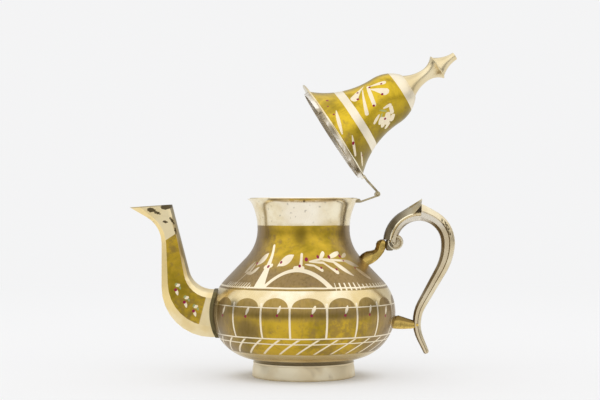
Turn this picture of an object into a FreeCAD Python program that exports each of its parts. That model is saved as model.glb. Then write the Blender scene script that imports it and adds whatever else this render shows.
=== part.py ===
import FreeCAD, Part
import math
import operator
import os
from types import SimpleNamespace

import Sketcher

Vector = FreeCAD.Vector
ACROSS = Vector(0, 1, 0)
ALONG = Vector(1, 0, 0)

# Driving sizes in millimetres, turns in degrees and shares without a unit.
# The pot stands on z = 0 about the Z axis, with the handle towards +X and the spout towards -X.
DRIVING = {
    # pot shell
    "rim_radius": 36.3,
    "rim_height": 118.4,
    "neck_radius": 30.7,
    "neck_height": 98.0,
    "shoulder_round": 27.5,
    "belly_radius": 61.1,
    "belly_height": 42.7,
    "belly_round": 31.0,
    "pot_wall": 1.1,
    "port_radius": 7.0,
    # foot
    "foot_radius": 34.3,
    "foot_lip_radius": 33.4,
    "foot_lip_height": 10.2,
    "foot_top_radius": 32.6,
    "foot_wall": 2.6,
    "foot_edge": 1.2,
    # spout
    "spout_reach": 33.3,
    "spout_bend_round": 31.5,
    "spout_bend_height": 57.4,
    "spout_riser_top": 84.7,
    "spout_beak_round": 29.5,
    "spout_beak_angle": 71.0,
    "spout_throat_round": 16.0,
    "spout_throat_height": 73.7,
    "spout_riser_depth": 17.6,
    "spout_mouth_length": 26.2,
    "spout_mouth_rise": 1.4,
    "spout_base_width": 24.0,
    "spout_neck_width": 13.0,
    "spout_mouth_width": 13.5,
    "spout_wall": 1.3,
    "spout_flat_share": 0.46,
    "spout_edge_share": 0.42,
    "collar_depth": 3.0,
    "collar_inset": 0.5,
    # lid
    "lid_gap": 0.3,
    "lid_opening": 57.0,
    "flange_radius": 38.7,
    "flange_depth": 1.1,
    "flange_hole_radius": 30.6,
    "bezel_depth": 3.6,
    "bezel_wall": 1.3,
    "bezel_play": 0.7,
    "lip_radius": 33.3,
    "bell_wall": 1.1,
    "waist_radius": 17.3,
    "waist_height": 41.0,
    "crown_radius": 9.0,
    "crown_height": 59.0,
    # finial and its fixing
    "finial_base_radius": 8.3,
    "finial_waist_radius": 4.1,
    "finial_waist_height": 13.5,
    "finial_disc_radius": 8.4,
    "finial_disc_height": 23.0,
    "finial_disc_edge": 0.6,
    "finial_cone_radius": 7.4,
    "finial_tip_radius": 2.6,
    "finial_tip_height": 37.0,
    "stud_radius": 2.0,
    "stud_grip": 9.0,
    "stud_end": 1.0,
    "fixing_play": 0.05,
    "washer_radius": 5.2,
    "washer_depth": 1.0,
    "nut_radius": 4.0,
    "nut_depth": 3.0,
    # hinge
    "hinge_reach": 12.8,
    "hinge_rise": 2.8,
    "knuckle_radius": 1.75,
    "pin_radius": 0.8,
    "pin_play": 0.05,
    "pin_head_radius": 1.3,
    "pin_head_depth": 0.6,
    "lid_knuckle_width": 5.0,
    "pot_knuckle_width": 3.3,
    "knuckle_side_play": 0.3,
    "strap_depth": 1.25,
    "strap_seat": 4.6,
    "lug_depth": 2.2,
    "lug_top_gap": 0.7,
    "lug_reach": 1.6,
    # handle
    "loop_offset": 15.9,
    "loop_height": 88.7,
    "loop_inner_radius": 14.8,
    "handle_depth": 9.0,
    "handle_width": 9.0,
    "sweep_round": 37.0,
    "handle_lean": 29.5,
    "handle_run": 25.9,
    "handle_foot_round": 25.4,
    "handle_foot_depth": 6.2,
    "handle_foot_width": 7.2,
    "tail_lean": 24.4,
    "tail_run": 9.7,
    "tail_depth": 3.6,
    "tail_width": 3.8,
    "handle_flat_share": 0.44,
    "handle_edge_share": 0.42,
    "volute_offset": 15.9,
    "volute_lift": 1.0,
    "volute_radius": 4.8,
    "volute_width": 9.6,
    "leaf_depth": 2.8,
    "leaf_width": 9.0,
    "leaf_seat_start_angle": 191.0,
    "leaf_start_angle": 171.0,
    "leaf_rise_angle": 125.0,
    "leaf_leave_angle": 102.5,
    "leaf_seat_end_angle": 87.0,
    "leaf_tip_run": 18.2,
    "leaf_tip_depth": 1.7,
    "leaf_tip_width": 1.6,
    # brackets and handle pins
    "root_gap": 1.6,
    "root_set_in": 1.5,
    "root_width": 7.0,
    "knob_top": 91.1,
    "knob_bottom": 83.6,
    "knob_length": 6.4,
    "arm_top": 84.1,
    "arm_round": 27.4,
    "arm_back_round": 24.0,
    "arm_drop": 10.2,
    "arm_length": 11.6,
    "arm_back_drop": 3.2,
    "arm_back_length": 16.2,
    "arm_sink": 4.0,
    "arm_width": 9.0,
    "arm_edge": 1.4,
    "stub_bottom": 31.8,
    "stub_top": 39.8,
    "stub_end_top": 36.6,
    "stub_shelf": 2.2,
    "stub_width": 6.8,
    "stub_edge": 1.5,
    "tongue_width": 2.6,
    "tongue_depth": 3.6,
    "tongue_reach": 5.2,
    "rivet_radius": 0.9,
    "handle_pin_radius": 1.1,
    "handle_pin_grip": 4.0,
}

doc = FreeCAD.newDocument("coffee_pot")
sheet = doc.addObject("Spreadsheet::Sheet", "sizes")
for row, (alias, value) in enumerate(DRIVING.items(), start=1):
    sheet.set(f"A{row}", alias.replace("_", " "))
    sheet.set(f"B{row}", str(value))
    sheet.setAlias(f"B{row}", alias)
doc.recompute()


class Size:
    """A length that knows its number and the sheet formula that gives it."""

    def __init__(self, number, formula):
        self.number = number
        self.formula = formula

    def __add__(self, other):
        return joined(self, "+", other)

    def __radd__(self, other):
        return joined(other, "+", self)

    def __sub__(self, other):
        return joined(self, "-", other)

    def __rsub__(self, other):
        return joined(other, "-", self)

    def __mul__(self, other):
        return joined(self, "*", other)

    def __rmul__(self, other):
        return joined(other, "*", self)

    def __truediv__(self, other):
        return joined(self, "/", other)

    def __neg__(self):
        return joined(0, "-", self)

    def root(self):
        return Size(math.sqrt(self.number), f"sqrt({self.formula})")

    def cosine(self):
        return Size(math.cos(math.radians(self.number)), f"cos({self.formula} * 1 deg)")

    def sine(self):
        return Size(math.sin(math.radians(self.number)), f"sin({self.formula} * 1 deg)")


SIGNS = {"+": operator.add, "-": operator.sub, "*": operator.mul, "/": operator.truediv}


def as_size(value):
    if isinstance(value, Size):
        return value
    return Size(float(value), repr(float(value)))


def joined(left, sign, right):
    left = as_size(left)
    right = as_size(right)
    number = SIGNS[sign](left.number, right.number)
    return Size(number, f"({left.formula} {sign} {right.formula})")


mm = SimpleNamespace(**{alias: Size(float(sheet.get(alias)), f"sizes.{alias}") for alias in DRIVING})


def bind(target, path, size):
    target.setExpression(path, as_size(size).formula)


# Sketches and features

def new_sketch(body, role, name, lift=0):
    # A sketch on one of the body's own origin planes, raised along its normal by lift.
    plane = [feature for feature in body.Origin.OriginFeatures if feature.Role == role][0]
    sketch = body.newObject("Sketcher::SketchObject", name)
    sketch.AttachmentSupport = [(plane, "")]
    sketch.MapMode = "FlatFace"
    bind(sketch, "AttachmentOffset.Base.z", lift)
    return sketch


def dimension(sketch, kind, size, *place):
    size = as_size(size)
    index = sketch.addConstraint(Sketcher.Constraint(kind, *place, size.number))
    sketch.setExpression(f"Constraints[{index}]", size.formula)


def arc_between(start, end, radius, turn):
    # The shorter arc from start to end, counterclockwise for turn = 1 and clockwise for turn = -1.
    chord = end - start
    leg = math.sqrt(max(radius * radius - chord.Length * chord.Length / 4, 0.0))
    side = Vector(-chord.y, chord.x, 0).normalize() * turn
    centre = (start + end) / 2 + side * leg
    first, last = (start, end) if turn > 0 else (end, start)
    first_angle = math.atan2(first.y - centre.y, first.x - centre.x)
    last_angle = math.atan2(last.y - centre.y, last.x - centre.x)
    if last_angle < first_angle:
        last_angle += 2 * math.pi
    return Part.ArcOfCircle(Part.Circle(centre, Vector(0, 0, 1), radius), first_angle, last_angle)


def draw_outline(sketch, corners, arcs):
    # arcs maps an edge, counted from its first corner, to its radius and its turn.
    corners = [(as_size(across), as_size(up)) for across, up in corners]
    spots = [Vector(across.number, up.number, 0) for across, up in corners]
    starts = []
    for edge, start in enumerate(spots):
        end = spots[(edge + 1) % len(spots)]
        radius, turn = arcs.get(edge, (None, 0))
        if turn:
            sketch.addGeometry(arc_between(start, end, radius.number, turn), False)
        else:
            sketch.addGeometry(Part.LineSegment(start, end), False)
        starts.append(2 if turn < 0 else 1)
    for edge, start in enumerate(starts):
        following = (edge + 1) % len(spots)
        sketch.addConstraint(Sketcher.Constraint("Coincident", edge, 3 - start, following, starts[following]))
    for edge, (across, up) in enumerate(corners):
        dimension(sketch, "DistanceX", across, edge, starts[edge])
        dimension(sketch, "DistanceY", up, edge, starts[edge])
    for edge, (radius, turn) in arcs.items():
        dimension(sketch, "Radius", radius, edge)


def draw_circle(sketch, across, up, radius):
    centre = Vector(as_size(across).number, as_size(up).number, 0)
    circle = sketch.addGeometry(Part.Circle(centre, Vector(0, 0, 1), as_size(radius).number), False)
    dimension(sketch, "DistanceX", across, circle, 3)
    dimension(sketch, "DistanceY", up, circle, 3)
    dimension(sketch, "Radius", radius, circle)


def turned(label, corners, arcs):
    # A body turned about the Z axis from its half outline.
    body = doc.addObject("PartDesign::Body", label)
    sketch = new_sketch(body, "XZ_Plane", f"{label}_outline")
    draw_outline(sketch, corners, arcs)
    revolution = body.newObject("PartDesign::Revolution", f"{label}_turned")
    revolution.Profile = sketch
    revolution.ReferenceAxis = (sketch, ["V_Axis"])
    revolution.Angle = 360
    doc.recompute()
    return body


def pad(body, sketch, width):
    # Thickens a sketch by the same amount to both sides of its plane.
    feature = body.newObject("PartDesign::Pad", f"{sketch.Name}_pad")
    feature.Profile = sketch
    feature.SideType = "Symmetric"
    bind(feature, "Length", width)
    doc.recompute()
    return feature


def pocket(body, sketch, width=None):
    # Cuts a sketch out to both sides of its plane, right through unless a width is given.
    before = body.Shape.Volume
    feature = body.newObject("PartDesign::Pocket", f"{sketch.Name}_pocket")
    feature.Profile = sketch
    feature.SideType = "Symmetric"
    if width is None:
        feature.Type = "ThroughAll"
    else:
        bind(feature, "Length", width)
    doc.recompute()
    assert body.Shape.Volume < before, sketch.Name


def edged(body, feature, edges, edge_size):
    chamfer = body.newObject("PartDesign::Chamfer", f"{body.Name}_edges")
    chamfer.Base = (feature, edges)
    bind(chamfer, "Size", edge_size)
    doc.recompute()
    return chamfer


def side_edges(feature):
    # Names of the long edges that lie on the two flat sides of a symmetric pad.
    half = feature.Length.Value / 2
    names = []
    for index, edge in enumerate(feature.Shape.Edges, start=1):
        if all(abs(abs(vertex.Y) - half) < 1e-6 for vertex in edge.Vertexes) and edge.BoundBox.YLength < 1e-6:
            names.append(f"Edge{index}")
    return names


def cut(label, base, *tools):
    result = base
    for step, tool in enumerate(tools, start=1):
        last = step == len(tools)
        result_name = label if last else f"{label}_cut_{step}"
        feature = doc.addObject("Part::Cut", result_name)
        feature.Base = result
        feature.Tool = tool
        doc.recompute()
        result = feature
    return result


def common(label, base, tool):
    feature = doc.addObject("Part::Common", label)
    feature.Base = base
    feature.Tool = tool
    doc.recompute()
    return feature


def fused(label, *pieces):
    feature = doc.addObject("Part::MultiFuse", label)
    feature.Shapes = list(pieces)
    feature.Refine = True
    doc.recompute()
    return feature


def cylinder(label, radius, length, place, axis):
    # A round bar whose axis starts at place.
    feature = doc.addObject("Part::Cylinder", label)
    bind(feature, "Radius", radius)
    bind(feature, "Height", length)
    feature.Placement = FreeCAD.Placement(Vector(0, 0, 0), FreeCAD.Rotation(Vector(0, 0, 1), axis))
    for name, size in zip("xyz", place):
        bind(feature, f"Placement.Base.{name}", size)
    doc.recompute()
    return feature


def block(label, low, high):
    feature = doc.addObject("Part::Box", label)
    for name, side, start, end in zip("xyz", ("Length", "Width", "Height"), low, high):
        bind(feature, side, end - start)
        bind(feature, f"Placement.Base.{name}", start)
    doc.recompute()
    return feature


def shaped(label, shape):
    feature = doc.addObject("Part::Feature", label)
    feature.Shape = shape
    feature.Placement = FreeCAD.Placement()
    return feature


# Faceted bars that turn along a curved line

def octagon(centre, across, half_depth, half_width, flat_share, edge_share):
    # A bevelled section: across points along its depth and its width lies along Y.
    corners = []
    for depth_sign, width_sign in ((1, 1), (-1, 1), (-1, -1), (1, -1)):
        edge = (depth_sign * half_depth, width_sign * half_width * edge_share)
        flat = (depth_sign * half_depth * flat_share, width_sign * half_width)
        corners += [edge, flat] if depth_sign == width_sign else [flat, edge]
    points = [centre + across * depth + ACROSS * width for depth, width in corners]
    return Part.makePolygon(points + points[:1])


def lofted(sections):
    return Part.makeLoft(sections, True, False)


def spread(first, last, count):
    return [first + (last - first) * step / (count - 1) for step in range(count)]


def on_circle(centre, radius, degrees):
    turn = math.radians(degrees)
    return centre + Vector(radius * math.cos(turn), 0, radius * math.sin(turn))


# Pot shell: one wall line serves the outside, the inside and the collar round it

belly_centre = mm.belly_radius - mm.belly_round
neck_centre = mm.neck_radius + mm.shoulder_round
between_across = neck_centre - belly_centre
between_up = mm.neck_height - mm.belly_height
between_square = between_across * between_across + between_up * between_up
round_sum = mm.shoulder_round + mm.belly_round
slope_run = (between_square - round_sum * round_sum).root()
slope_across = -(between_across * round_sum + between_up * slope_run) / between_square
slope_up = (between_across * slope_run - between_up * round_sum) / between_square
rim_out = mm.rim_radius - mm.neck_radius
rim_up = mm.rim_height - mm.neck_height
flare_round = (rim_out * rim_out + rim_up * rim_up) / (2 * rim_out)


def flare_at(height, inset):
    # Radius of the flaring neck at a height, inset from its outside.
    reach = flare_round + inset
    rise = height - mm.neck_height
    return mm.neck_radius + flare_round - (reach * reach - rise * rise).root()


def wall_line(inset):
    belly = mm.belly_round - inset
    shoulder = mm.shoulder_round + inset
    corners = SimpleNamespace(
        base=(belly_centre, mm.belly_height - belly),
        equator=(mm.belly_radius - inset, mm.belly_height),
        slope_low=(belly_centre - belly * slope_across, mm.belly_height - belly * slope_up),
        slope_top=(neck_centre + shoulder * slope_across, mm.neck_height + shoulder * slope_up),
        neck=(mm.neck_radius - inset, mm.neck_height),
    )
    rounds = SimpleNamespace(belly=belly, shoulder=shoulder, flare=flare_round + inset)
    return corners, rounds


def rim_spot(inset):
    return flare_at(mm.rim_height, inset), mm.rim_height


def pot_solid(label, inset, top):
    # The pot filled up, offset by inset, to its neck or to its rim.
    line, rounds = wall_line(inset)
    corners = [(0, line.base[1]), line.base, line.equator, line.slope_low, line.slope_top, line.neck]
    arcs = {1: (rounds.belly, 1), 2: (rounds.belly, 1), 4: (rounds.shoulder, -1)}
    if top == "rim":
        corners.append(rim_spot(inset))
        arcs[5] = (rounds.flare, -1)
    corners.append((0, corners[-1][1]))
    return turned(label, corners, arcs)


pot_form = pot_solid("pot_form", 0, "rim")
collar_form = pot_solid("collar_form", -mm.collar_depth, "neck")

outside, outer_rounds = wall_line(0)
inside, inner_rounds = wall_line(mm.pot_wall)

bowl_blank = turned(
    "pot_bowl_blank",
    [(0, outside.base[1]), outside.base, outside.equator, inside.equator, inside.base, (0, inside.base[1])],
    {1: (outer_rounds.belly, 1), 3: (inner_rounds.belly, -1)},
)
shoulder_blank = turned(
    "pot_shoulder_blank",
    [outside.equator, outside.slope_low, outside.slope_top, outside.neck, rim_spot(0),
     rim_spot(mm.pot_wall), inside.neck, inside.slope_top, inside.slope_low, inside.equator],
    {0: (outer_rounds.belly, 1), 2: (outer_rounds.shoulder, -1), 3: (outer_rounds.flare, -1),
     5: (inner_rounds.flare, 1), 6: (inner_rounds.shoulder, 1), 8: (inner_rounds.belly, -1)},
)
spout_port = cylinder(
    "spout_port", mm.port_radius, mm.belly_round,
    (-mm.belly_radius - mm.collar_depth, 0, mm.belly_height), ALONG,
)
pot_bowl = cut("pot_bowl", bowl_blank, spout_port)
pot_shoulder = cut("pot_shoulder", shoulder_blank, spout_port)


# Foot: a slightly conical ring whose top is hollowed to seat the rounded bottom

def belly_under(radius):
    # Height of the pot's underside at a radius beyond its flat bottom.
    step = radius - belly_centre
    return mm.belly_height - (mm.belly_round * mm.belly_round - step * step).root()


foot_hole = mm.foot_radius - mm.foot_wall
foot_ring = turned(
    "foot_ring",
    [(foot_hole, 0), (mm.foot_radius - mm.foot_edge, 0), (mm.foot_radius, mm.foot_edge),
     (mm.foot_lip_radius, mm.foot_lip_height), (mm.foot_top_radius, belly_under(mm.foot_top_radius)),
     (foot_hole, belly_under(foot_hole))],
    {1: (mm.foot_edge, 1), 4: (mm.belly_round, -1)},
)


# Spout: two soldered halves of a bevelled gooseneck with an open beak

def spout_sections(inset):
    # Sections run from inside the belly to the mouth, between the outer and the throat edges.
    riser_face = -(mm.belly_radius + mm.spout_reach).number
    bend = Vector(riser_face + mm.spout_bend_round.number, 0, mm.spout_bend_height.number)
    beak = Vector(riser_face - mm.spout_beak_round.number, 0, mm.spout_riser_top.number)
    throat_round = mm.spout_throat_round.number
    throat_across = riser_face + mm.spout_riser_depth.number + throat_round
    throat = Vector(throat_across, 0, mm.spout_throat_height.number)
    tip = on_circle(beak, mm.spout_beak_round.number, mm.spout_beak_angle.number)
    corner = tip + Vector(mm.spout_mouth_length.number, 0, mm.spout_mouth_rise.number)
    to_corner = corner - throat
    leave = math.degrees(math.atan2(to_corner.z, to_corner.x) + math.acos(throat_round / to_corner.Length))
    throat_end = on_circle(throat, throat_round, leave)
    bend_steps = 5
    riser_steps = 3
    beak_steps = 5
    riser_share = 0.4
    outer = [on_circle(bend, mm.spout_bend_round.number, turn) for turn in spread(270, 180, bend_steps)]
    inner = [on_circle(throat, throat_round, turn) for turn in spread(270, leave, bend_steps)]
    for share in spread(0, 1, riser_steps)[1:]:
        outer.append(Vector(riser_face, 0, bend.z + (beak.z - bend.z) * share))
        inner.append(throat_end + (corner - throat_end) * share * riser_share)
    for share in spread(0, 1, beak_steps)[1:]:
        outer.append(on_circle(beak, mm.spout_beak_round.number, mm.spout_beak_angle.number * share))
        inner.append(throat_end + (corner - throat_end) * (riser_share + (1 - riser_share) * share))
    base = Vector(2 * mm.collar_depth.number - mm.belly_radius.number, 0, 0)
    outer.insert(0, Vector(base.x, 0, outer[0].z))
    inner.insert(0, Vector(base.x, 0, inner[0].z))
    widths = spread(mm.spout_base_width.number, mm.spout_neck_width.number, bend_steps + riser_steps)
    widths += spread(mm.spout_neck_width.number, mm.spout_mouth_width.number, beak_steps)[1:]
    sections = []
    for far, near, width in zip(outer, inner, widths):
        depth = far - near
        sections.append(octagon(
            (far + near) / 2, depth.normalize(), (far - near).Length / 2 - inset, width / 2 - inset,
            mm.spout_flat_share.number, mm.spout_edge_share.number,
        ))
    return sections


def raised(section, lift):
    moved = section.copy()
    moved.translate(lift)
    return moved


spout_wall = mm.spout_wall.number
bore_sections = spout_sections(spout_wall)
bore_sections.append(raised(bore_sections[-1], Vector(0, 0, spout_wall)))
spout_blank = shaped("spout_blank", lofted(spout_sections(0)))
spout_bore = shaped("spout_bore", lofted(bore_sections))
spout_tube = cut("spout_tube", spout_blank, spout_bore, collar_form)
spout_far_end = mm.belly_radius + mm.spout_reach + mm.spout_beak_round
middle = as_size(0)
near_side = block(
    "near_side", (-spout_far_end, -mm.spout_base_width, middle), (middle, middle, 2 * mm.rim_height),
)
spout_near_half = common("spout_near_half", spout_tube, near_side)
spout_far_half = cut("spout_far_half", spout_tube, near_side)
collar_blank = shaped("collar_blank", lofted(spout_sections(mm.collar_inset.number)))
collar_zone = common("collar_zone", collar_blank, collar_form)
spout_collar = cut("spout_collar", collar_zone, spout_bore, pot_form)

# Lid, modelled closed on the pot and then swung open about the hinge pin

lid_seat = mm.rim_height + mm.lid_gap
flange_top = lid_seat + mm.flange_depth
bezel_low = lid_seat - mm.bezel_depth
bezel_radius = flare_at(bezel_low, mm.pot_wall) - mm.bezel_play
crown_top = lid_seat + mm.crown_height
waist_level = lid_seat + mm.waist_height
pin_across = mm.rim_radius + mm.hinge_reach
pin_up = mm.rim_height + mm.hinge_rise


def swing_open(piece):
    cosine = mm.lid_opening.cosine()
    sine = mm.lid_opening.sine()
    piece.Placement = FreeCAD.Placement(Vector(0, 0, 0), FreeCAD.Rotation(ACROSS, mm.lid_opening.number))
    bind(piece, "Placement.Base.x", pin_across - pin_across * cosine - pin_up * sine)
    bind(piece, "Placement.Base.z", pin_up + pin_across * sine - pin_up * cosine)
    piece.setExpression("Placement.Rotation.Angle", f"{mm.lid_opening.formula} * 1 deg")
    doc.recompute()
    return piece


lid_flange = turned(
    "lid_flange",
    [(mm.flange_hole_radius, lid_seat), (mm.flange_radius, lid_seat), (mm.flange_radius, flange_top),
     (mm.flange_hole_radius, flange_top)],
    {},
)
lid_bezel = turned(
    "lid_bezel",
    [(bezel_radius - mm.bezel_wall, bezel_low), (bezel_radius, bezel_low), (bezel_radius, lid_seat),
     (bezel_radius - mm.bezel_wall, lid_seat)],
    {},
)

lip_out = mm.lip_radius - mm.waist_radius
lip_down = waist_level - flange_top
bell_round = (lip_out * lip_out + lip_down * lip_down) / (2 * lip_out)
crown_in = mm.waist_radius - mm.crown_radius
crown_up = crown_top - waist_level
dome_round = (crown_in * crown_in + crown_up * crown_up) / (2 * crown_in)
bell_inner_round = bell_round + mm.bell_wall
dome_inner_round = dome_round - mm.bell_wall
crown_inner_up = crown_up - mm.bell_wall
crown_inner_root = (dome_inner_round * dome_inner_round - crown_inner_up * crown_inner_up).root()
crown_inner = mm.waist_radius - dome_round + crown_inner_root
lip_inner_root = (bell_inner_round * bell_inner_round - lip_down * lip_down).root()
lip_inner = mm.waist_radius + bell_round - lip_inner_root
crown_under = crown_top - mm.bell_wall
stud_hole = mm.stud_radius + mm.fixing_play
lid_bell = turned(
    "lid_bell",
    [(mm.lip_radius, flange_top), (mm.waist_radius, waist_level), (mm.crown_radius, crown_top),
     (stud_hole, crown_top), (stud_hole, crown_under), (crown_inner, crown_under),
     (mm.waist_radius - mm.bell_wall, waist_level), (lip_inner, flange_top)],
    {0: (bell_round, -1), 1: (dome_round, 1), 5: (dome_inner_round, -1), 6: (bell_inner_round, 1)},
)


def hollow(narrow, wide):
    # Radius of the hollow curve that stands upright at its narrow end and flares to its wide end.
    out = wide[0] - narrow[0]
    rise = wide[1] - narrow[1]
    return (out * out + rise * rise) / (2 * out)


finial_waist = (mm.finial_waist_radius, crown_top + mm.finial_waist_height)
finial_base = (mm.finial_base_radius, crown_top)
disc_low = (mm.finial_disc_radius, crown_top + mm.finial_disc_height - mm.finial_disc_edge / 2)
disc_top = (mm.finial_disc_radius, crown_top + mm.finial_disc_height + mm.finial_disc_edge / 2)
cone_base = (mm.finial_cone_radius, crown_top + mm.finial_disc_height + mm.finial_disc_edge)
finial_tip = (mm.finial_tip_radius, crown_top + mm.finial_tip_height)
stud_top = crown_top + mm.stud_grip
finial = turned(
    "finial",
    [(stud_hole, crown_top), finial_base, finial_waist, disc_low, disc_top, cone_base, finial_tip,
     (0, crown_top + mm.finial_tip_height), (0, stud_top + mm.stud_end), (stud_hole, stud_top)],
    {1: (hollow(finial_waist, finial_base), -1), 2: (hollow(finial_waist, disc_low), -1),
     5: (hollow(finial_tip, cone_base), -1)},
)

washer_under = crown_under - mm.washer_depth
nut_under = washer_under - mm.nut_depth
finial_washer = turned(
    "finial_washer",
    [(stud_hole, washer_under), (mm.washer_radius, washer_under), (mm.washer_radius, crown_under),
     (stud_hole, crown_under)],
    {},
)
stud_bottom = nut_under - mm.stud_end
finial_stud = turned(
    "finial_stud",
    [(0, stud_bottom), (mm.stud_radius, stud_bottom), (mm.stud_radius, stud_top), (0, stud_top)],
    {},
)
finial_nut = doc.addObject("PartDesign::Body", "finial_nut")
nut_outline = new_sketch(finial_nut, "XY_Plane", "nut_outline", nut_under + mm.nut_depth / 2)
nut_corners = []
for corner in range(6):
    turn = as_size(60 * corner)
    nut_corners.append((mm.nut_radius * turn.cosine(), mm.nut_radius * turn.sine()))
draw_outline(nut_outline, nut_corners, {})
pad(finial_nut, nut_outline, mm.nut_depth)
nut_hole = new_sketch(finial_nut, "XY_Plane", "nut_hole", nut_under)
draw_circle(nut_hole, 0, 0, stud_hole)
pocket(finial_nut, nut_hole)


# Hinge: a strap on the lid's flange and a strap on the pot's rim curl round one pin

strap_start = mm.lip_radius + mm.lid_gap
strap_top = flange_top + mm.strap_depth
lid_hinge_strap = doc.addObject("PartDesign::Body", "lid_hinge_strap")
lid_strap_side = new_sketch(lid_hinge_strap, "XZ_Plane", "lid_strap_side")
draw_outline(
    lid_strap_side,
    [(strap_start, flange_top), (strap_start + mm.strap_seat, flange_top),
     (pin_across, pin_up + mm.knuckle_radius - mm.strap_depth), (pin_across, pin_up + mm.knuckle_radius),
     (strap_start + mm.strap_seat - mm.strap_depth, strap_top), (strap_start, strap_top)],
    {},
)
pad(lid_hinge_strap, lid_strap_side, mm.lid_knuckle_width)
lid_knuckle = new_sketch(lid_hinge_strap, "XZ_Plane", "lid_knuckle")
draw_circle(lid_knuckle, pin_across, pin_up, mm.knuckle_radius)
pad(lid_hinge_strap, lid_knuckle, mm.lid_knuckle_width)
lid_eye = new_sketch(lid_hinge_strap, "XZ_Plane", "lid_eye")
draw_circle(lid_eye, pin_across, pin_up, mm.pin_radius + mm.pin_play)
pocket(lid_hinge_strap, lid_eye)

barrel_width = mm.lid_knuckle_width + 2 * mm.knuckle_side_play + 2 * mm.pot_knuckle_width
lug_top = mm.rim_height - mm.lug_top_gap
lug_low = lug_top - mm.lug_depth
lug_end = mm.rim_radius + mm.lug_reach
pot_strap_blank = doc.addObject("PartDesign::Body", "pot_strap_blank")
pot_strap_side = new_sketch(pot_strap_blank, "XZ_Plane", "pot_strap_side")
draw_outline(
    pot_strap_side,
    [(mm.neck_radius, lug_low), (lug_end, lug_low), (pin_across, pin_up - mm.knuckle_radius),
     (pin_across, pin_up - mm.knuckle_radius + mm.strap_depth), (lug_end, lug_low + mm.strap_depth),
     (lug_end - mm.lid_gap, lug_top), (mm.neck_radius, lug_top)],
    {},
)
pad(pot_strap_blank, pot_strap_side, barrel_width)
pot_knuckles = new_sketch(pot_strap_blank, "XZ_Plane", "pot_knuckles")
draw_circle(pot_knuckles, pin_across, pin_up, mm.knuckle_radius)
pad(pot_strap_blank, pot_knuckles, barrel_width)
pot_eye = new_sketch(pot_strap_blank, "XZ_Plane", "pot_eye")
draw_circle(pot_eye, pin_across, pin_up, mm.pin_radius)
pocket(pot_strap_blank, pot_eye)
knuckle_room = new_sketch(pot_strap_blank, "XZ_Plane", "knuckle_room")
draw_circle(knuckle_room, pin_across, pin_up, mm.knuckle_radius + mm.knuckle_side_play)
pocket(pot_strap_blank, knuckle_room, mm.lid_knuckle_width + 2 * mm.knuckle_side_play)
pot_hinge_strap = cut("pot_hinge_strap", pot_strap_blank, pot_form)

head_end = barrel_width / 2 + mm.pin_head_depth
hinge_pin = turned(
    "hinge_pin",
    [(0, -head_end), (mm.pin_radius, -head_end), (mm.pin_head_radius, -barrel_width / 2),
     (mm.pin_radius, -barrel_width / 2), (mm.pin_radius, barrel_width / 2),
     (mm.pin_head_radius, barrel_width / 2), (mm.pin_radius, head_end), (0, head_end)],
    {},
)
hinge_pin.Placement = FreeCAD.Placement(Vector(0, 0, 0), FreeCAD.Rotation(Vector(0, 0, 1), ACROSS))
bind(hinge_pin, "Placement.Base.x", pin_across)
bind(hinge_pin, "Placement.Base.z", pin_up)
doc.recompute()

LID = (lid_flange, lid_bezel, lid_bell, finial, finial_stud, finial_washer, finial_nut, lid_hinge_strap)
for lid_piece in LID:
    swing_open(lid_piece)


# Handle: a bevelled loop that ends in a volute above and a curled tail below

loop_across = mm.belly_radius + mm.loop_offset
loop_round = mm.loop_inner_radius + mm.handle_depth / 2
sweep_across = loop_across + loop_round - mm.sweep_round
lean_cosine = mm.handle_lean.cosine()
lean_sine = mm.handle_lean.sine()
run_start = (sweep_across + mm.sweep_round * lean_cosine, mm.loop_height - mm.sweep_round * lean_sine)
run_end = (run_start[0] - mm.handle_run * lean_sine, run_start[1] - mm.handle_run * lean_cosine)
foot_across = run_end[0] + mm.handle_foot_round * lean_cosine
foot_up = run_end[1] - mm.handle_foot_round * lean_sine


def place(across, up):
    return Vector(as_size(across).number, 0, as_size(up).number)


def handle_sections():
    # Stations along the middle of the bar, each with the turn of its outward side from +X.
    lean = mm.handle_lean.number
    tail = mm.tail_lean.number
    loop_steps = 9
    sweep_steps = 4
    run_steps = 4
    foot_steps = 5
    tail_steps = 3
    volute_turn = 178
    loop_centre = place(loop_across, mm.loop_height)
    sweep_centre = place(sweep_across, mm.loop_height)
    foot_centre = place(foot_across, foot_up)
    stations = []
    for turn in spread(volute_turn, 0, loop_steps):
        stations.append((on_circle(loop_centre, loop_round.number, turn), turn))
    for turn in spread(0, -lean, sweep_steps)[1:]:
        stations.append((on_circle(sweep_centre, mm.sweep_round.number, turn), turn))
    for share in spread(0, 1, run_steps)[1:]:
        stations.append((place(*run_start) + (place(*run_end) - place(*run_start)) * share, -lean))
    for turn in spread(-lean, tail, foot_steps)[1:]:
        stations.append((on_circle(foot_centre, -mm.handle_foot_round.number, turn), turn))
    tail_start = stations[-1][0]
    tail_way = on_circle(Vector(0, 0, 0), mm.tail_run.number, tail - 90)
    for share in spread(0, 1, tail_steps)[1:]:
        stations.append((tail_start + tail_way * share, tail))
    bar_steps = sweep_steps + run_steps - 1
    end_steps = foot_steps + tail_steps - 1

    def tapered(loop, foot, end):
        return [loop] * (loop_steps - 1) + spread(loop, foot, bar_steps) + spread(foot, end, end_steps)[1:]

    depths = tapered(mm.handle_depth.number, mm.handle_foot_depth.number, mm.tail_depth.number)
    widths = tapered(mm.handle_width.number, mm.handle_foot_width.number, mm.tail_width.number)
    sections = []
    for (centre, turn), depth, width in zip(stations, depths, widths):
        outward = on_circle(Vector(0, 0, 0), 1, turn)
        sections.append(octagon(
            centre, outward, depth / 2, width / 2, mm.handle_flat_share.number, mm.handle_edge_share.number,
        ))
    return sections


handle_bar = shaped("handle_bar", lofted(handle_sections()))

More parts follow.
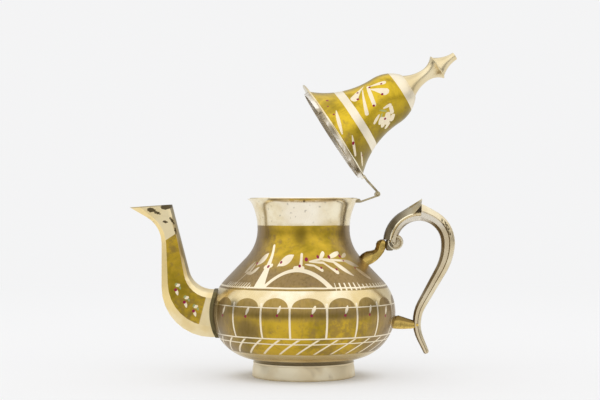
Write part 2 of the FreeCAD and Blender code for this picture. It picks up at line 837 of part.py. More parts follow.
# The outer strip of the loop is cut free on its left side, where the thumb leaf lies
leaf_seat = mm.loop_inner_radius + mm.handle_depth - mm.leaf_depth
leaf_outer = mm.loop_inner_radius + mm.handle_depth


def loop_spot(radius, turn):
    return (loop_across + radius * turn.cosine(), mm.loop_height + radius * turn.sine())


seat_cutter = doc.addObject("PartDesign::Body", "leaf_seat_cutter")
seat_side = new_sketch(seat_cutter, "XZ_Plane", "leaf_seat_side")
clear_round = leaf_outer + mm.handle_depth
middle_turn = (mm.leaf_seat_start_angle + mm.leaf_seat_end_angle) / 2
draw_outline(
    seat_side,
    [loop_spot(leaf_seat, mm.leaf_seat_start_angle), loop_spot(clear_round, mm.leaf_seat_start_angle),
     loop_spot(clear_round, middle_turn), loop_spot(clear_round, mm.leaf_seat_end_angle),
     loop_spot(leaf_seat, mm.leaf_seat_end_angle), loop_spot(leaf_seat, middle_turn)],
    {1: (clear_round, -1), 2: (clear_round, -1), 4: (leaf_seat, 1), 5: (leaf_seat, 1)},
)
pad(seat_cutter, seat_side, 2 * mm.handle_width)

volute_across = loop_across - mm.volute_offset
volute_up = mm.loop_height + mm.volute_lift
volute = cylinder(
    "volute", mm.volute_radius, mm.volute_width, (volute_across, -mm.volute_width / 2, volute_up), ACROSS,
)
knob_face = volute_across - mm.volute_radius - mm.root_gap
root_end = volute_across - mm.root_set_in
root_block = block(
    "root_block", (knob_face, -mm.root_width / 2, mm.knob_bottom), (root_end, mm.root_width / 2, volute_up),
)
loop_bar = cut("loop_bar", handle_bar, seat_cutter)
handle_whole = fused("handle_whole", loop_bar, volute, root_block)

# Lower stub: its tongue enters a slot in the handle and is riveted across

stub_face = foot_across - mm.handle_foot_round
tongue_middle = (mm.stub_bottom + mm.stub_end_top) / 2
tongue_start = stub_face - mm.tongue_reach
tongue_end = stub_face + mm.handle_foot_depth / 2 - mm.stub_edge / 2
stub_block = doc.addObject("PartDesign::Body", "stub_block")
stub_side = new_sketch(stub_block, "XZ_Plane", "stub_side")
stub_root = belly_centre + mm.belly_round / 2
draw_outline(
    stub_side,
    [(stub_root, mm.stub_bottom), (stub_face, mm.stub_bottom), (stub_face, mm.stub_end_top),
     (mm.belly_radius + mm.stub_shelf, mm.stub_top), (stub_root, mm.stub_top)],
    {},
)
stub_pad = pad(stub_block, stub_side, mm.stub_width)
edged(stub_block, stub_pad, side_edges(stub_pad), mm.stub_edge)
stub_trimmed = cut("stub_trimmed", stub_block, pot_form, handle_bar)
tongue = block(
    "tongue", (tongue_start, -mm.tongue_width / 2, tongue_middle - mm.tongue_depth / 2),
    (tongue_end, mm.tongue_width / 2, tongue_middle + mm.tongue_depth / 2),
)
play = mm.fixing_play
tongue_slot = block(
    "tongue_slot", (tongue_start, -mm.tongue_width / 2 - play, tongue_middle - mm.tongue_depth / 2 - play),
    (tongue_end + play, mm.tongue_width / 2 + play, tongue_middle + mm.tongue_depth / 2 + play),
)
rivet_length = mm.handle_foot_width
rivet_start = (stub_face, -rivet_length / 2, tongue_middle)
lower_handle_rivet = cylinder("lower_handle_rivet", mm.rivet_radius, rivet_length, rivet_start, ACROSS)
rivet_hole_start = (stub_face, -rivet_length, tongue_middle)
rivet_hole = cylinder("rivet_hole", mm.rivet_radius, 2 * rivet_length, rivet_hole_start, ACROSS)
stub_whole = fused("stub_whole", stub_trimmed, tongue)
lower_bracket = cut("lower_bracket", stub_whole, rivet_hole)

# Upper bracket: an arm from the shoulder with a knob that a dowel ties to the volute's root

dowel_up = (mm.knob_bottom + volute_up) / 2
dowel_start = (knob_face - mm.handle_pin_grip, 0, dowel_up)
dowel_length = 2 * mm.handle_pin_grip
upper_handle_pin = cylinder("upper_handle_pin", mm.handle_pin_radius, dowel_length, dowel_start, ALONG)
dowel_hole = cylinder("dowel_hole", mm.handle_pin_radius, dowel_length, dowel_start, ALONG)
arm_block = doc.addObject("PartDesign::Body", "arm_block")
arm_side = new_sketch(arm_block, "XZ_Plane", "arm_side")
knob_back = knob_face - mm.knob_length
arm_low = (knob_face - mm.arm_length, mm.knob_bottom - mm.arm_drop)
arm_back = (knob_face - mm.arm_back_length, mm.arm_top - mm.arm_back_drop)
draw_outline(
    arm_side,
    [(arm_low[0] - mm.arm_sink, arm_low[1] - mm.arm_sink / 2), arm_low, (knob_face, mm.knob_bottom),
     (knob_face, mm.knob_top - mm.arm_edge), (knob_face - mm.arm_edge, mm.knob_top),
     (knob_back, mm.knob_top - mm.arm_edge), (knob_back - mm.arm_edge / 2, mm.arm_top), arm_back,
     (arm_back[0] - mm.arm_sink / 2, arm_back[1] - mm.arm_sink)],
    {1: (mm.arm_round, 1), 6: (mm.arm_back_round, 1)},
)
arm_pad = pad(arm_block, arm_side, mm.arm_width)
edged(arm_block, arm_pad, side_edges(arm_pad), mm.arm_edge)
upper_bracket = cut("upper_bracket", arm_block, pot_form, dowel_hole)

handle = cut("handle", handle_whole, tongue_slot, rivet_hole, dowel_hole)

# Thumb leaf: follows the loop's outside and lifts off to a point

leaf_body = doc.addObject("PartDesign::Body", "leaf_side_body")
leaf_side = new_sketch(leaf_body, "XZ_Plane", "leaf_side")
lift_off = loop_spot(leaf_outer, mm.leaf_rise_angle)
tip_across = lift_off[0] + mm.leaf_tip_run * mm.leaf_rise_angle.sine()
tip_up = lift_off[1] - mm.leaf_tip_run * mm.leaf_rise_angle.cosine()
leaf_tip = (tip_across, tip_up)
draw_outline(
    leaf_side,
    [loop_spot(leaf_seat, mm.leaf_start_angle), loop_spot(leaf_outer, mm.leaf_start_angle),
     lift_off, leaf_tip, (tip_across, tip_up - mm.leaf_tip_depth), loop_spot(leaf_seat, mm.leaf_leave_angle)],
    {1: (leaf_outer, -1), 5: (leaf_seat, 1)},
)
pad(leaf_body, leaf_side, mm.leaf_width)
leaf_plan_body = doc.addObject("PartDesign::Body", "leaf_plan_body")
leaf_plan = new_sketch(leaf_plan_body, "XY_Plane", "leaf_plan")
leaf_root = loop_spot(leaf_outer, mm.leaf_start_angle)[0] - mm.leaf_depth
draw_outline(
    leaf_plan,
    [(leaf_root, -mm.leaf_width / 3), (lift_off[0], -mm.leaf_width / 2), (tip_across, -mm.leaf_tip_width / 2),
     (tip_across, mm.leaf_tip_width / 2), (lift_off[0], mm.leaf_width / 2), (leaf_root, mm.leaf_width / 3)],
    {},
)
pad(leaf_plan_body, leaf_plan, 4 * mm.rim_height)
thumb_leaf = common("thumb_leaf", leaf_body, leaf_plan_body)


NODES = LID + (
    pot_bowl, pot_shoulder, foot_ring, spout_near_half, spout_far_half, spout_collar, pot_hinge_strap,
    hinge_pin, handle, thumb_leaf, upper_bracket, lower_bracket, upper_handle_pin, lower_handle_rivet,
)

doc.recompute()
for item in doc.Objects:
    assert "Invalid" not in item.State and "Error" not in item.State, item.Label
for node in NODES:
    assert not node.Shape.isNull() and node.Shape.isValid(), node.Label
os.makedirs("parts", exist_ok=True)
for node in NODES:
    node.Shape.exportStep(f"parts/{node.Label}.step")
    print(node.Label, len(node.Shape.Solids), round(node.Shape.Volume, 1))
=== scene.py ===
import math

import bpy
from mathutils import Matrix, Vector


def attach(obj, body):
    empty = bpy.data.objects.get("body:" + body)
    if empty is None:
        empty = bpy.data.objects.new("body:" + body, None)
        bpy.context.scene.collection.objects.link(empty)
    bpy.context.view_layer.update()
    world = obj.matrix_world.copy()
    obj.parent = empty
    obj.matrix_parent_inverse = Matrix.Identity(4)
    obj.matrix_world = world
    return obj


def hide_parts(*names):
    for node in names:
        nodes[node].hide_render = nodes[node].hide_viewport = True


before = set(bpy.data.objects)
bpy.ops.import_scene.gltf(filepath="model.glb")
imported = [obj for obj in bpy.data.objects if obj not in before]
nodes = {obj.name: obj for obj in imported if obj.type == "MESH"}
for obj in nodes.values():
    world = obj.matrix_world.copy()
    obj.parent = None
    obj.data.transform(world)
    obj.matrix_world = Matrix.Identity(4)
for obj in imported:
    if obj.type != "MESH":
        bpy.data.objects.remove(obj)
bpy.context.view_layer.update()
mm = 0.001
print("frame loaded:", len(nodes), "CAD nodes")


# Shader sums
class Wire:  # a shader socket that takes part in sums
    def __init__(self, tree, socket=None):
        self.tree = tree
        self.socket = socket

    def make(self, kind, settings=None, values=None, out=0):
        node = self.tree.nodes.new(kind)
        for key, value in (settings or {}).items():
            if key == "stops":
                self.fillRamp(node.color_ramp, value)
            else:
                setattr(node, key, value)
        for key, value in (values or {}).items():
            if isinstance(value, Wire):
                self.tree.links.new(value.socket, node.inputs[key])
            else:
                node.inputs[key].default_value = value
        return Wire(self.tree, node.outputs[out])

    def fillRamp(self, ramp, stops):
        for element, (place, tint) in zip(ramp.elements, (stops[0], stops[-1])):
            element.position = place
            element.color = tint
        for place, tint in stops[1:-1]:
            ramp.elements.new(place).color = tint

    def math(self, operation, other=0.0, third=0.0, clamp=False):
        settings = {"operation": operation, "use_clamp": clamp}
        return self.make("ShaderNodeMath", settings, {0: self, 1: other, 2: third})

    def vector(self, operation, other, out=0):
        return self.make("ShaderNodeVectorMath", {"operation": operation}, {0: self, 1: other}, out)

    def __add__(self, other):
        return self.math("ADD", other)

    def __sub__(self, other):
        return self.math("SUBTRACT", other)

    def __mul__(self, other):
        return self.math("MULTIPLY", other)

    def __truediv__(self, other):
        return self.math("DIVIDE", other)

    def __rsub__(self, other):
        return self.math("MULTIPLY_ADD", -1.0, other)

    def __neg__(self):
        return self.math("MULTIPLY", -1.0)

    def __abs__(self):
        return self.math("ABSOLUTE")

    __radd__ = __add__
    __rmul__ = __mul__


def most(*masks):
    result = masks[0]
    for mask in masks[1:]:
        result = result.math("MAXIMUM", mask)
    return result


def rise(value, low, high):  # 0 below low, 1 above high
    values = {"Value": value, "From Min": low, "From Max": high}
    return value.make("ShaderNodeMapRange", {"interpolation_type": "SMOOTHSTEP"}, values)


def band(value, low, high, soft=0.15):
    return rise(value, low - soft, low + soft) * (1 - rise(value, high - soft, high + soft))


def edge(depth, soft=0.22):  # 1 inside a shape whose depth is in millimetres
    return depth.math("MULTIPLY_ADD", 1 / soft, 0.5, clamp=True)


def stroke(place, start, end, widths):
    # a graver's cut from start to end, half as wide as widths say at its start, middle and end
    along = Vector((end[0] - start[0], end[1] - start[1], 0))
    rest = place.vector("SUBTRACT", (start[0], start[1], 0))
    share = rest.vector("DOT_PRODUCT", along / along.length_squared, "Value")
    share = share.math("MULTIPLY", 1.0, clamp=True)
    foot = place.make("ShaderNodeVectorMath", {"operation": "SCALE"}, {0: along, "Scale": share})
    first, middle, last = widths
    bend = 2 * (first + last - 2 * middle)
    slope = last - first - bend
    width = share.math("MULTIPLY_ADD", bend, slope).math("MULTIPLY_ADD", share, first)
    return edge(width - rest.vector("DISTANCE", foot, "Value"))


def dot(place, centre, radius):
    return edge(radius - place.vector("DISTANCE", (centre[0], centre[1], 0), "Value"))


def strokes(place, rows, scale=1.0):  # each row has both ends and the three half widths
    return [stroke(place, (row[0] * scale, row[1]), (row[2] * scale, row[3]), row[4:]) for row in rows]


def dotsAt(place, rows, scale=1.0):
    return [dot(place, (across * scale, up), radius) for across, up, radius in rows]


def noise(place, scale, detail=4.0, rough=0.55, distortion=0.0):
    values = {"Vector": place, "Scale": scale, "Detail": detail, "Roughness": rough, "Distortion": distortion}
    return place.make("ShaderNodeTexNoise", None, values)


def blend(first, second, share):
    # colours pass through a colour mix
    settings = {"data_type": "RGBA", "blend_type": "MIX", "clamp_factor": True}
    return share.make("ShaderNodeMix", settings, {0: share, 6: first, 7: second}, 2)


def colour(red, green, blue):
    return (red, green, blue, 1.0)


def newMaterial(name):
    material = bpy.data.materials.new(name)
    material.use_nodes = True
    tree = material.node_tree
    place = Wire(tree).make("ShaderNodeTexCoord", None, None, "Object")
    return material, tree.nodes["Principled BSDF"], place


def plug(shader, **inputs):
    tree = shader.id_data
    for name, value in inputs.items():
        socket = shader.inputs[name.replace("_", " ")]
        if isinstance(value, Wire):
            tree.links.new(value.socket, socket)
        else:
            socket.default_value = value


def bump(place, height, strength, distance):
    values = {"Strength": strength, "Distance": distance, "Height": height}
    return place.make("ShaderNodeBump", None, values)


def parts(vector):
    node = vector.make("ShaderNodeSeparateXYZ", None, {0: vector}).socket.node
    return [Wire(vector.tree, output) for output in node.outputs]


def axes(place):
    return [part * 1000 for part in parts(place)]  # millimetres


def facing(place):  # which way the surface looks
    return parts(place.make("ShaderNodeNewGeometry", None, None, "Normal"))


def turnRound(x, y):
    # degrees round the axis from the front, and the same with the back folded onto the front
    turn = x.math("ARCTAN2", -y) * math.degrees(1)
    return turn, (turn + 90).math("FLOORED_MODULO", 180.0) - 90


def flat(across, up):
    return across.make("ShaderNodeCombineXYZ", None, {0: across, 1: up})


# Metals
silver = {
    "bright": colour(0.93, 0.85, 0.64),
    "dull": colour(0.73, 0.58, 0.31),
    # near-white used as painted highlight on the plate
    "paintedHighlight": colour(0.97, 0.91, 0.79),
    "tarnish": colour(0.20, 0.14, 0.07),
    "black": colour(0.095, 0.068, 0.03),
    "rough": 0.09,
    "smudges": 55.0, "streaks": 90.0, "patches": 85.0, "pits": 800.0,  # how fine each one is
    "dents": 130.0,
}


def silverLook(place, amount=0.5):
    # worn plate: brushed smudges over a bright ground, with brown tarnish in patches
    smudge = noise(place, silver["smudges"], 3.5, 0.55)
    streak = noise(place.vector("MULTIPLY", (1.0, 1.0, 6.0)), silver["streaks"], 3.0, 0.5)
    patch = rise(noise(place, silver["patches"], 2.5, 0.5, 0.5), 0.60, 0.80) * amount
    ground = blend(silver["bright"], silver["dull"], rise(smudge, 0.38, 0.66) * 0.8)
    tint = blend(ground, silver["tarnish"], patch)
    rough = silver["rough"] + smudge * 0.16 + streak * 0.06 + patch * 0.25
    return tint, rough, smudge


def dents(place):
    # slight waves left by the hammer and the file
    return bump(place, noise(place, silver["dents"], 1.0, 0.4), 0.10, 0.5 * mm)


def silverMaterial(name, amount, extra=0.0, shade=None, share=0.35, pits=None, fade=None, highlightHeights=None):
    material, shader, place = newMaterial(name)
    tint, rough, smudge = silverLook(place, amount)
    x, _, z = axes(place)
    if shade:
        stain = share + smudge * 0.7
        if fade:  # the stain thins out from one place across to another
            stain = stain * (1 - rise(x, *fade) * 0.75)
        tint = blend(tint, shade, stain)
    if highlightHeights:  # painted highlight from one height up to another
        tint = blend(tint, silver["paintedHighlight"], rise(z, *highlightHeights) * 0.8)
    if pits:
        broken = rise(noise(place, silver["pits"], 2.0), 0.40, 0.52)
        tint = blend(tint, silver["black"], stroke(flat(x, z), *pits) * broken * 0.9)
    plug(shader, Base_Color=tint, Roughness=rough + extra, Metallic=1.0, Normal=dents(place))
    return material


lacquer = {
    "gold": colour(0.63, 0.415, 0.036),
    "olive": colour(0.33, 0.23, 0.014),
    "brown": colour(0.27, 0.175, 0.055),
    "umber": colour(0.29, 0.20, 0.105),
    "shade": colour(0.17, 0.115, 0.055),
    "moss": colour(0.24, 0.175, 0.025),
    "blot": colour(0.19, 0.125, 0.012),
    "tan": colour(0.62, 0.50, 0.33),
    "yellow": colour(0.74, 0.51, 0.03),
    "cut": colour(0.95, 0.84, 0.63),
    "red": colour(0.30, 0.006, 0.05),
    "green": colour(0.42, 0.50, 0.24),
    "rough": 0.27,
    "clouds": 42.0, "washes": 23.0, "flecks": 260.0, "brush": 700.0,  # how fine each one is
}


def lacquerLook(place, gold, thick, deep):
    # cloudy gold lacquer, thin and bright in places, olive and brown where it lies thick
    cloud = noise(place, lacquer["clouds"], 5.0, 0.62, 0.6)
    fleck = noise(place, lacquer["flecks"], 4.0, 0.65)
    wash = noise(place, lacquer["washes"], 3.0)
    thin = blend(lacquer[gold], lacquer["olive"], rise(cloud, 0.42, 0.70))
    tint = blend(thin, lacquer["brown"], rise(fleck * 0.5 + wash * 0.5, 0.48, 0.64) * 0.7)
    if thick:
        # brushed on in upright strokes where it is thickest
        brushed = noise(place.vector("MULTIPLY", (1.0, 1.0, 0.12)), lacquer["brush"], 2.0, 0.5)
        heavy = blend(lacquer[deep], lacquer["shade"], rise(brushed, 0.45, 0.7) * 0.6)
        tint = blend(tint, heavy, thick)
    return tint, lacquer["rough"] + cloud * 0.14


def cutFinish(shader, place, plate, cuts, dots, touches=None, gold="gold", thick=None, deep="umber",
              spots=None, cast=0.0, dim=None, plateShade=None, plateShare=None, paintedHighlight=None, blot=None):
    # plate, cuts, dots, touches, spots and blot are masks over the lacquer; spots holds pits and tarnish and
    # also painted shade
    tint, rough = lacquerLook(place, gold, thick, deep)
    if blot:
        tint = blend(tint, lacquer["blot"], blot)
    plateTint, plateRough, smudge = silverLook(place, 0.25)
    if plateShade:
        plateTint = blend(plateTint, plateShade, plateShare or 0.25 + smudge * 0.7)
    # painted highlight whitens the plate here
    if paintedHighlight:
        plateTint = blend(plateTint, silver["paintedHighlight"], paintedHighlight)
    tint = blend(tint, plateTint, plate)
    cutTint = blend(lacquer["cut"], lacquer["tan"], dim) if dim else lacquer["cut"]
    tint = blend(tint, cutTint, cuts)
    if touches:
        tint = blend(tint, lacquer["green"], touches)
    tint = blend(tint, lacquer["red"], dots)
    if spots:
        tint = blend(tint, silver["black"], spots)
    bare = most(plate, cuts)
    rough = rough + bare * (plateRough + cast - rough) + cuts * 0.12
    metal = 0.93 + bare * 0.07 - dots * 0.55
    coat = 0.06 - bare * 0.06
    plug(shader, Base_Color=tint, Roughness=rough, Metallic=metal, Coat_Weight=coat, Coat_Roughness=0.12)
    plug(shader, Normal=dents(place))


def patchyMaterial(name, light, middle, dark, scale):
    # plate worn through in patches: bright, grey and nearly black
    material, shader, place = newMaterial(name)
    worn = noise(place, scale, 5.0, 0.62, 0.5)
    tint = blend(blend(light, middle, rise(worn, 0.42, 0.54)), dark, rise(worn, 0.55, 0.66))
    plug(shader, Base_Color=tint, Roughness=0.16 + worn * 0.3, Metallic=1.0, Normal=dents(place))
    return material


def plainMaterial(name, light, dark, rough, scale, topShade=0.0):
    material, shader, place = newMaterial(name)
    cloud = noise(place, scale, 4.0, 0.55, 0.3)
    grain = noise(place, scale * 7, 3.0, 0.6)
    upward = facing(place)[2]
    share = rise(cloud * 0.8 + grain * 0.2, 0.42, 0.74) * (1 - topShade * 0.4)
    tint = blend(light, dark, most(share, rise(upward, 0.02, 0.4) * topShade))
    plug(shader, Base_Color=tint, Roughness=rough + cloud * 0.2, Metallic=1.0)
    plug(shader, Normal=bump(place, grain, 0.06, 0.4 * mm))
    return material


brightSilver = silverMaterial("wornSilver", 0.3)
handlePits = ((92.0, 104.4), (97.4, 94.4), (0.7, 1.7, 0.6))
handleOuter = silverMaterial("handleSilver", 0.3, 0.12, colour(0.66, 0.56, 0.38), 0.15, pits=handlePits)
# the upper loop's side and inner faces get a painted highlight; the inner faces are darker as painted shade
handleSide = silverMaterial("filedSilver", 0.3, 0.14, colour(0.68, 0.56, 0.38), highlightHeights=(96.0, 103.0))
handleInner = silverMaterial("shadedSilver", 0.6, 0.16, colour(0.20, 0.14, 0.065), 0.5, highlightHeights=(100.5, 104.5))
voluteEye = silverMaterial("voluteSilver", 0.5, 0.16, colour(0.42, 0.32, 0.18), 0.4)
leafBrown = silverMaterial("brownedSilver", 0.5, 0.12, colour(0.10, 0.068, 0.028), 0.6, fade=(61.0, 82.0))
rootBrown = silverMaterial("brownRoot", 0.8, 0.2, colour(0.085, 0.06, 0.03), 0.6)
footSilver = silverMaterial("brushedFoot", 0.5, 0.22, colour(0.78, 0.68, 0.49), 0.2)
finialGold = silverMaterial("finialSilver", 0.35, 0.10, colour(0.76, 0.62, 0.35), 0.3)
bareBrass = plainMaterial("bareBrass", colour(0.80, 0.56, 0.15), colour(0.11, 0.066, 0.024), 0.14,
                          150.0, 0.85)
strapBrass = plainMaterial("strapBrass", colour(0.55, 0.47, 0.30), colour(0.22, 0.17, 0.10), 0.32, 160.0)
solder = plainMaterial("darkSolder", colour(0.18, 0.145, 0.065), colour(0.085, 0.066, 0.03), 0.36, 120.0)
# near-black for the web in the notch under the leaf's tip: painted shade
notchShade = plainMaterial("notchShadeSheet", colour(0.09, 0.07, 0.045), colour(0.035, 0.028, 0.02), 0.5, 200.0)
insideTin = plainMaterial("insideTin", colour(0.46, 0.41, 0.33), colour(0.20, 0.16, 0.11), 0.38, 60.0)
bezelPatch = patchyMaterial("patchyBezel", colour(0.93, 0.88, 0.79), colour(0.52, 0.45, 0.33),
                            colour(0.12, 0.09, 0.05), 60.0)
print("metals ready")


# Pot skin
potSkin = {
    "neckEdge": 100.5, "underEdge": 18.6,  # silver above and below, lacquer between
    "fence": (60.85, 61.75),
    "bandTop": 59.6, "archFoot": 49.5, "archRise": 5.3, "archHalf": 8.3,
    "midLine": (48.95, 49.55),
    "columnHalf": 0.62, "columnFoot": 29.4,
    "lowLines": ((29.25, 30.05), (25.75, 26.4)),
    "slashes": 29, "slashLean": 1.47, "slashTop": 28.9, "slashFoot": 19.2, "slashHalf": 0.5,
    "perDegree": 0.803,  # millimetres on the shoulder
    "cells": 18, "cellWidth": 20.6,
    # where each column really stands round the belly, in degrees, and its count
    "columns": ((-180, -8.46), (-47.6, -2), (-26.3, -1), (-8.3, 0), (14.0, 1), (33.9, 2), (51.2, 3),
                (180, 9.54)),
    # cuts on the shoulder: degrees and height at both ends, half widths at start, middle and end
    "cuts": (
        (-31.2, 60.4, -32.2, 73.6, 3.5, 2.6, 1.9),
        (-34.6, 74.0, -29.4, 75.0, 1.2, 1.5, 1.2),
        (-32.4, 75.4, -35.3, 87.2, 1.7, 1.25, 1.15),
        (-22.3, 75.4, -10.2, 81.6, 0.8, 2.9, 0.3),
        (-23.2, 74.4, -21.6, 77.5, 0.2, 0.4, 0.6),
        (-7.3, 73.6, -0.8, 73.6, 1.2, 1.4, 1.2),
        (-2.4, 75.6, -1.9, 82.0, 1.1, 1.0, 1.0),
        (-53.6, 70.6, -51.2, 76.8, 0.8, 1.5, 0.4),
        (-48.8, 70.4, -48.2, 75.9, 0.8, 1.0, 0.4),
        (-45.6, 69.9, -41.4, 73.6, 0.9, 1.3, 0.4),
        (-51.2, 70.2, -45.2, 69.8, 0.7, 1.0, 0.7),
        (-50.6, 70.0, -55.6, 63.0, 0.4, 0.3, 0.25),
        (-45.0, 75.8, -39.4, 82.5, 1.0, 2.6, 0.3),
        (1.4, 75.9, 9.0, 75.2, 0.2, 0.6, 0.6),
        (9.0, 75.2, 15.2, 72.3, 0.6, 0.8, 1.0),
        (5.2, 77.5, 18.2, 76.9, 0.3, 0.6, 0.7),
        (18.2, 76.9, 27.8, 71.0, 0.7, 0.7, 1.3),
        (5.2, 77.7, 17.0, 79.1, 0.3, 0.6, 0.6),
        (17.0, 79.1, 28.4, 77.4, 0.6, 0.8, 0.8),
        (28.4, 77.4, 41.4, 68.7, 0.8, 1.5, 0.4),
        (17.0, 79.2, 42.0, 77.8, 0.5, 0.7, 0.7),
        (42.0, 77.8, 55.6, 74.0, 0.7, 1.6, 0.3),
        (49.8, 73.0, 58.4, 66.6, 0.4, 1.7, 0.9),
        (15.8, 79.2, 20.6, 82.8, 0.5, 1.3, 1.3),
        (25.0, 80.0, 38.8, 83.0, 0.5, 1.4, 0.9),
        (41.8, 80.2, 48.6, 82.0, 0.5, 1.0, 0.8),
    ),
    "dots": (
        (-31.9, 74.4, 0.95), (-3.4, 74.9, 0.95), (-21.0, 77.1, 0.9), (-47.0, 76.1, 0.8),
        (2.6, 79.0, 1.3), (14.2, 80.6, 1.1), (26.0, 80.4, 1.2), (39.2, 80.8, 1.1),
        (15.0, 73.8, 0.7), (28.3, 72.7, 0.75), (49.4, 73.2, 0.6), (40.6, 77.9, 0.6),
    ),
    "arch": (-4.8, 51.3, 20.95, 0.95), "archWidens": (-20.0, 18.0),  # degrees, centre, radius, half width
    # ticks on the fence: degrees from and to, heights from and to
    "tallTicks": (21.5, 41.0, 59.8, 64.4), "shortTicks": (41.0, 76.0, 60.6, 63.4), "tickApart": 3.9,
    "leaningTicks": (-66.0, -39.0, 60.6, 64.2), "leaningApart": 2.6,
    "hanging": ((1.2, 47.9, -0.4, 43.6, 0.5, 0.95, 0.35),), "hangingDot": ((-0.8, 42.2, 0.85),),
    # dark places: where they are, and the reaches between which they fade
    "blot": (-2.5, 94.5, 4.0, 15.0), "stain": (-29.0, 34.5, 6.0, 16.0), "ringStain": (43.8, 46.8, 1.6),
    # a chip in the rim, then painted shade: below a height over the foot, and beside the spout's collar
    "chip": (0.3, 116.2), "chipRound": 0.75, "footShade": (11.9, 14.2),
    "collarShade": (48.0, 57.5), "collarShadeUp": (27.0, 58.0, 2.0),
    # thick lacquer, golden plate, dim cuts and painted highlight on the plate: heights, and degrees to the
    # side
    "thickShoulder": (61.0, 80.0, 7.0), "thickArcade": (42.0, 57.0, 3.0), "thickSides": (38.0, 75.0),
    "goldFoot": (17.0, 20.5), "goldBand": (48.0, 60.0, 1.0), "goldSides": (22.0, 45.0),
    "dimUp": (62.0, 65.0), "dimSides": (36.0, 46.0),
    "highlightNeck": (100.0, 103.0), "highlightSides": (18.0, 48.0),
    "oldPlate": colour(0.66, 0.49, 0.19),
}


def tickRow(folded, z, row):
    fromTurn, toTurn, low, high = row
    return band(folded, fromTurn, toTurn, 0.2) * band(z, low, high)


def patchAt(place, row, ragged):
    across, up, near, far = row
    return 1 - rise(place.vector("DISTANCE", (across, up, 0), "Value") + ragged, near, far)


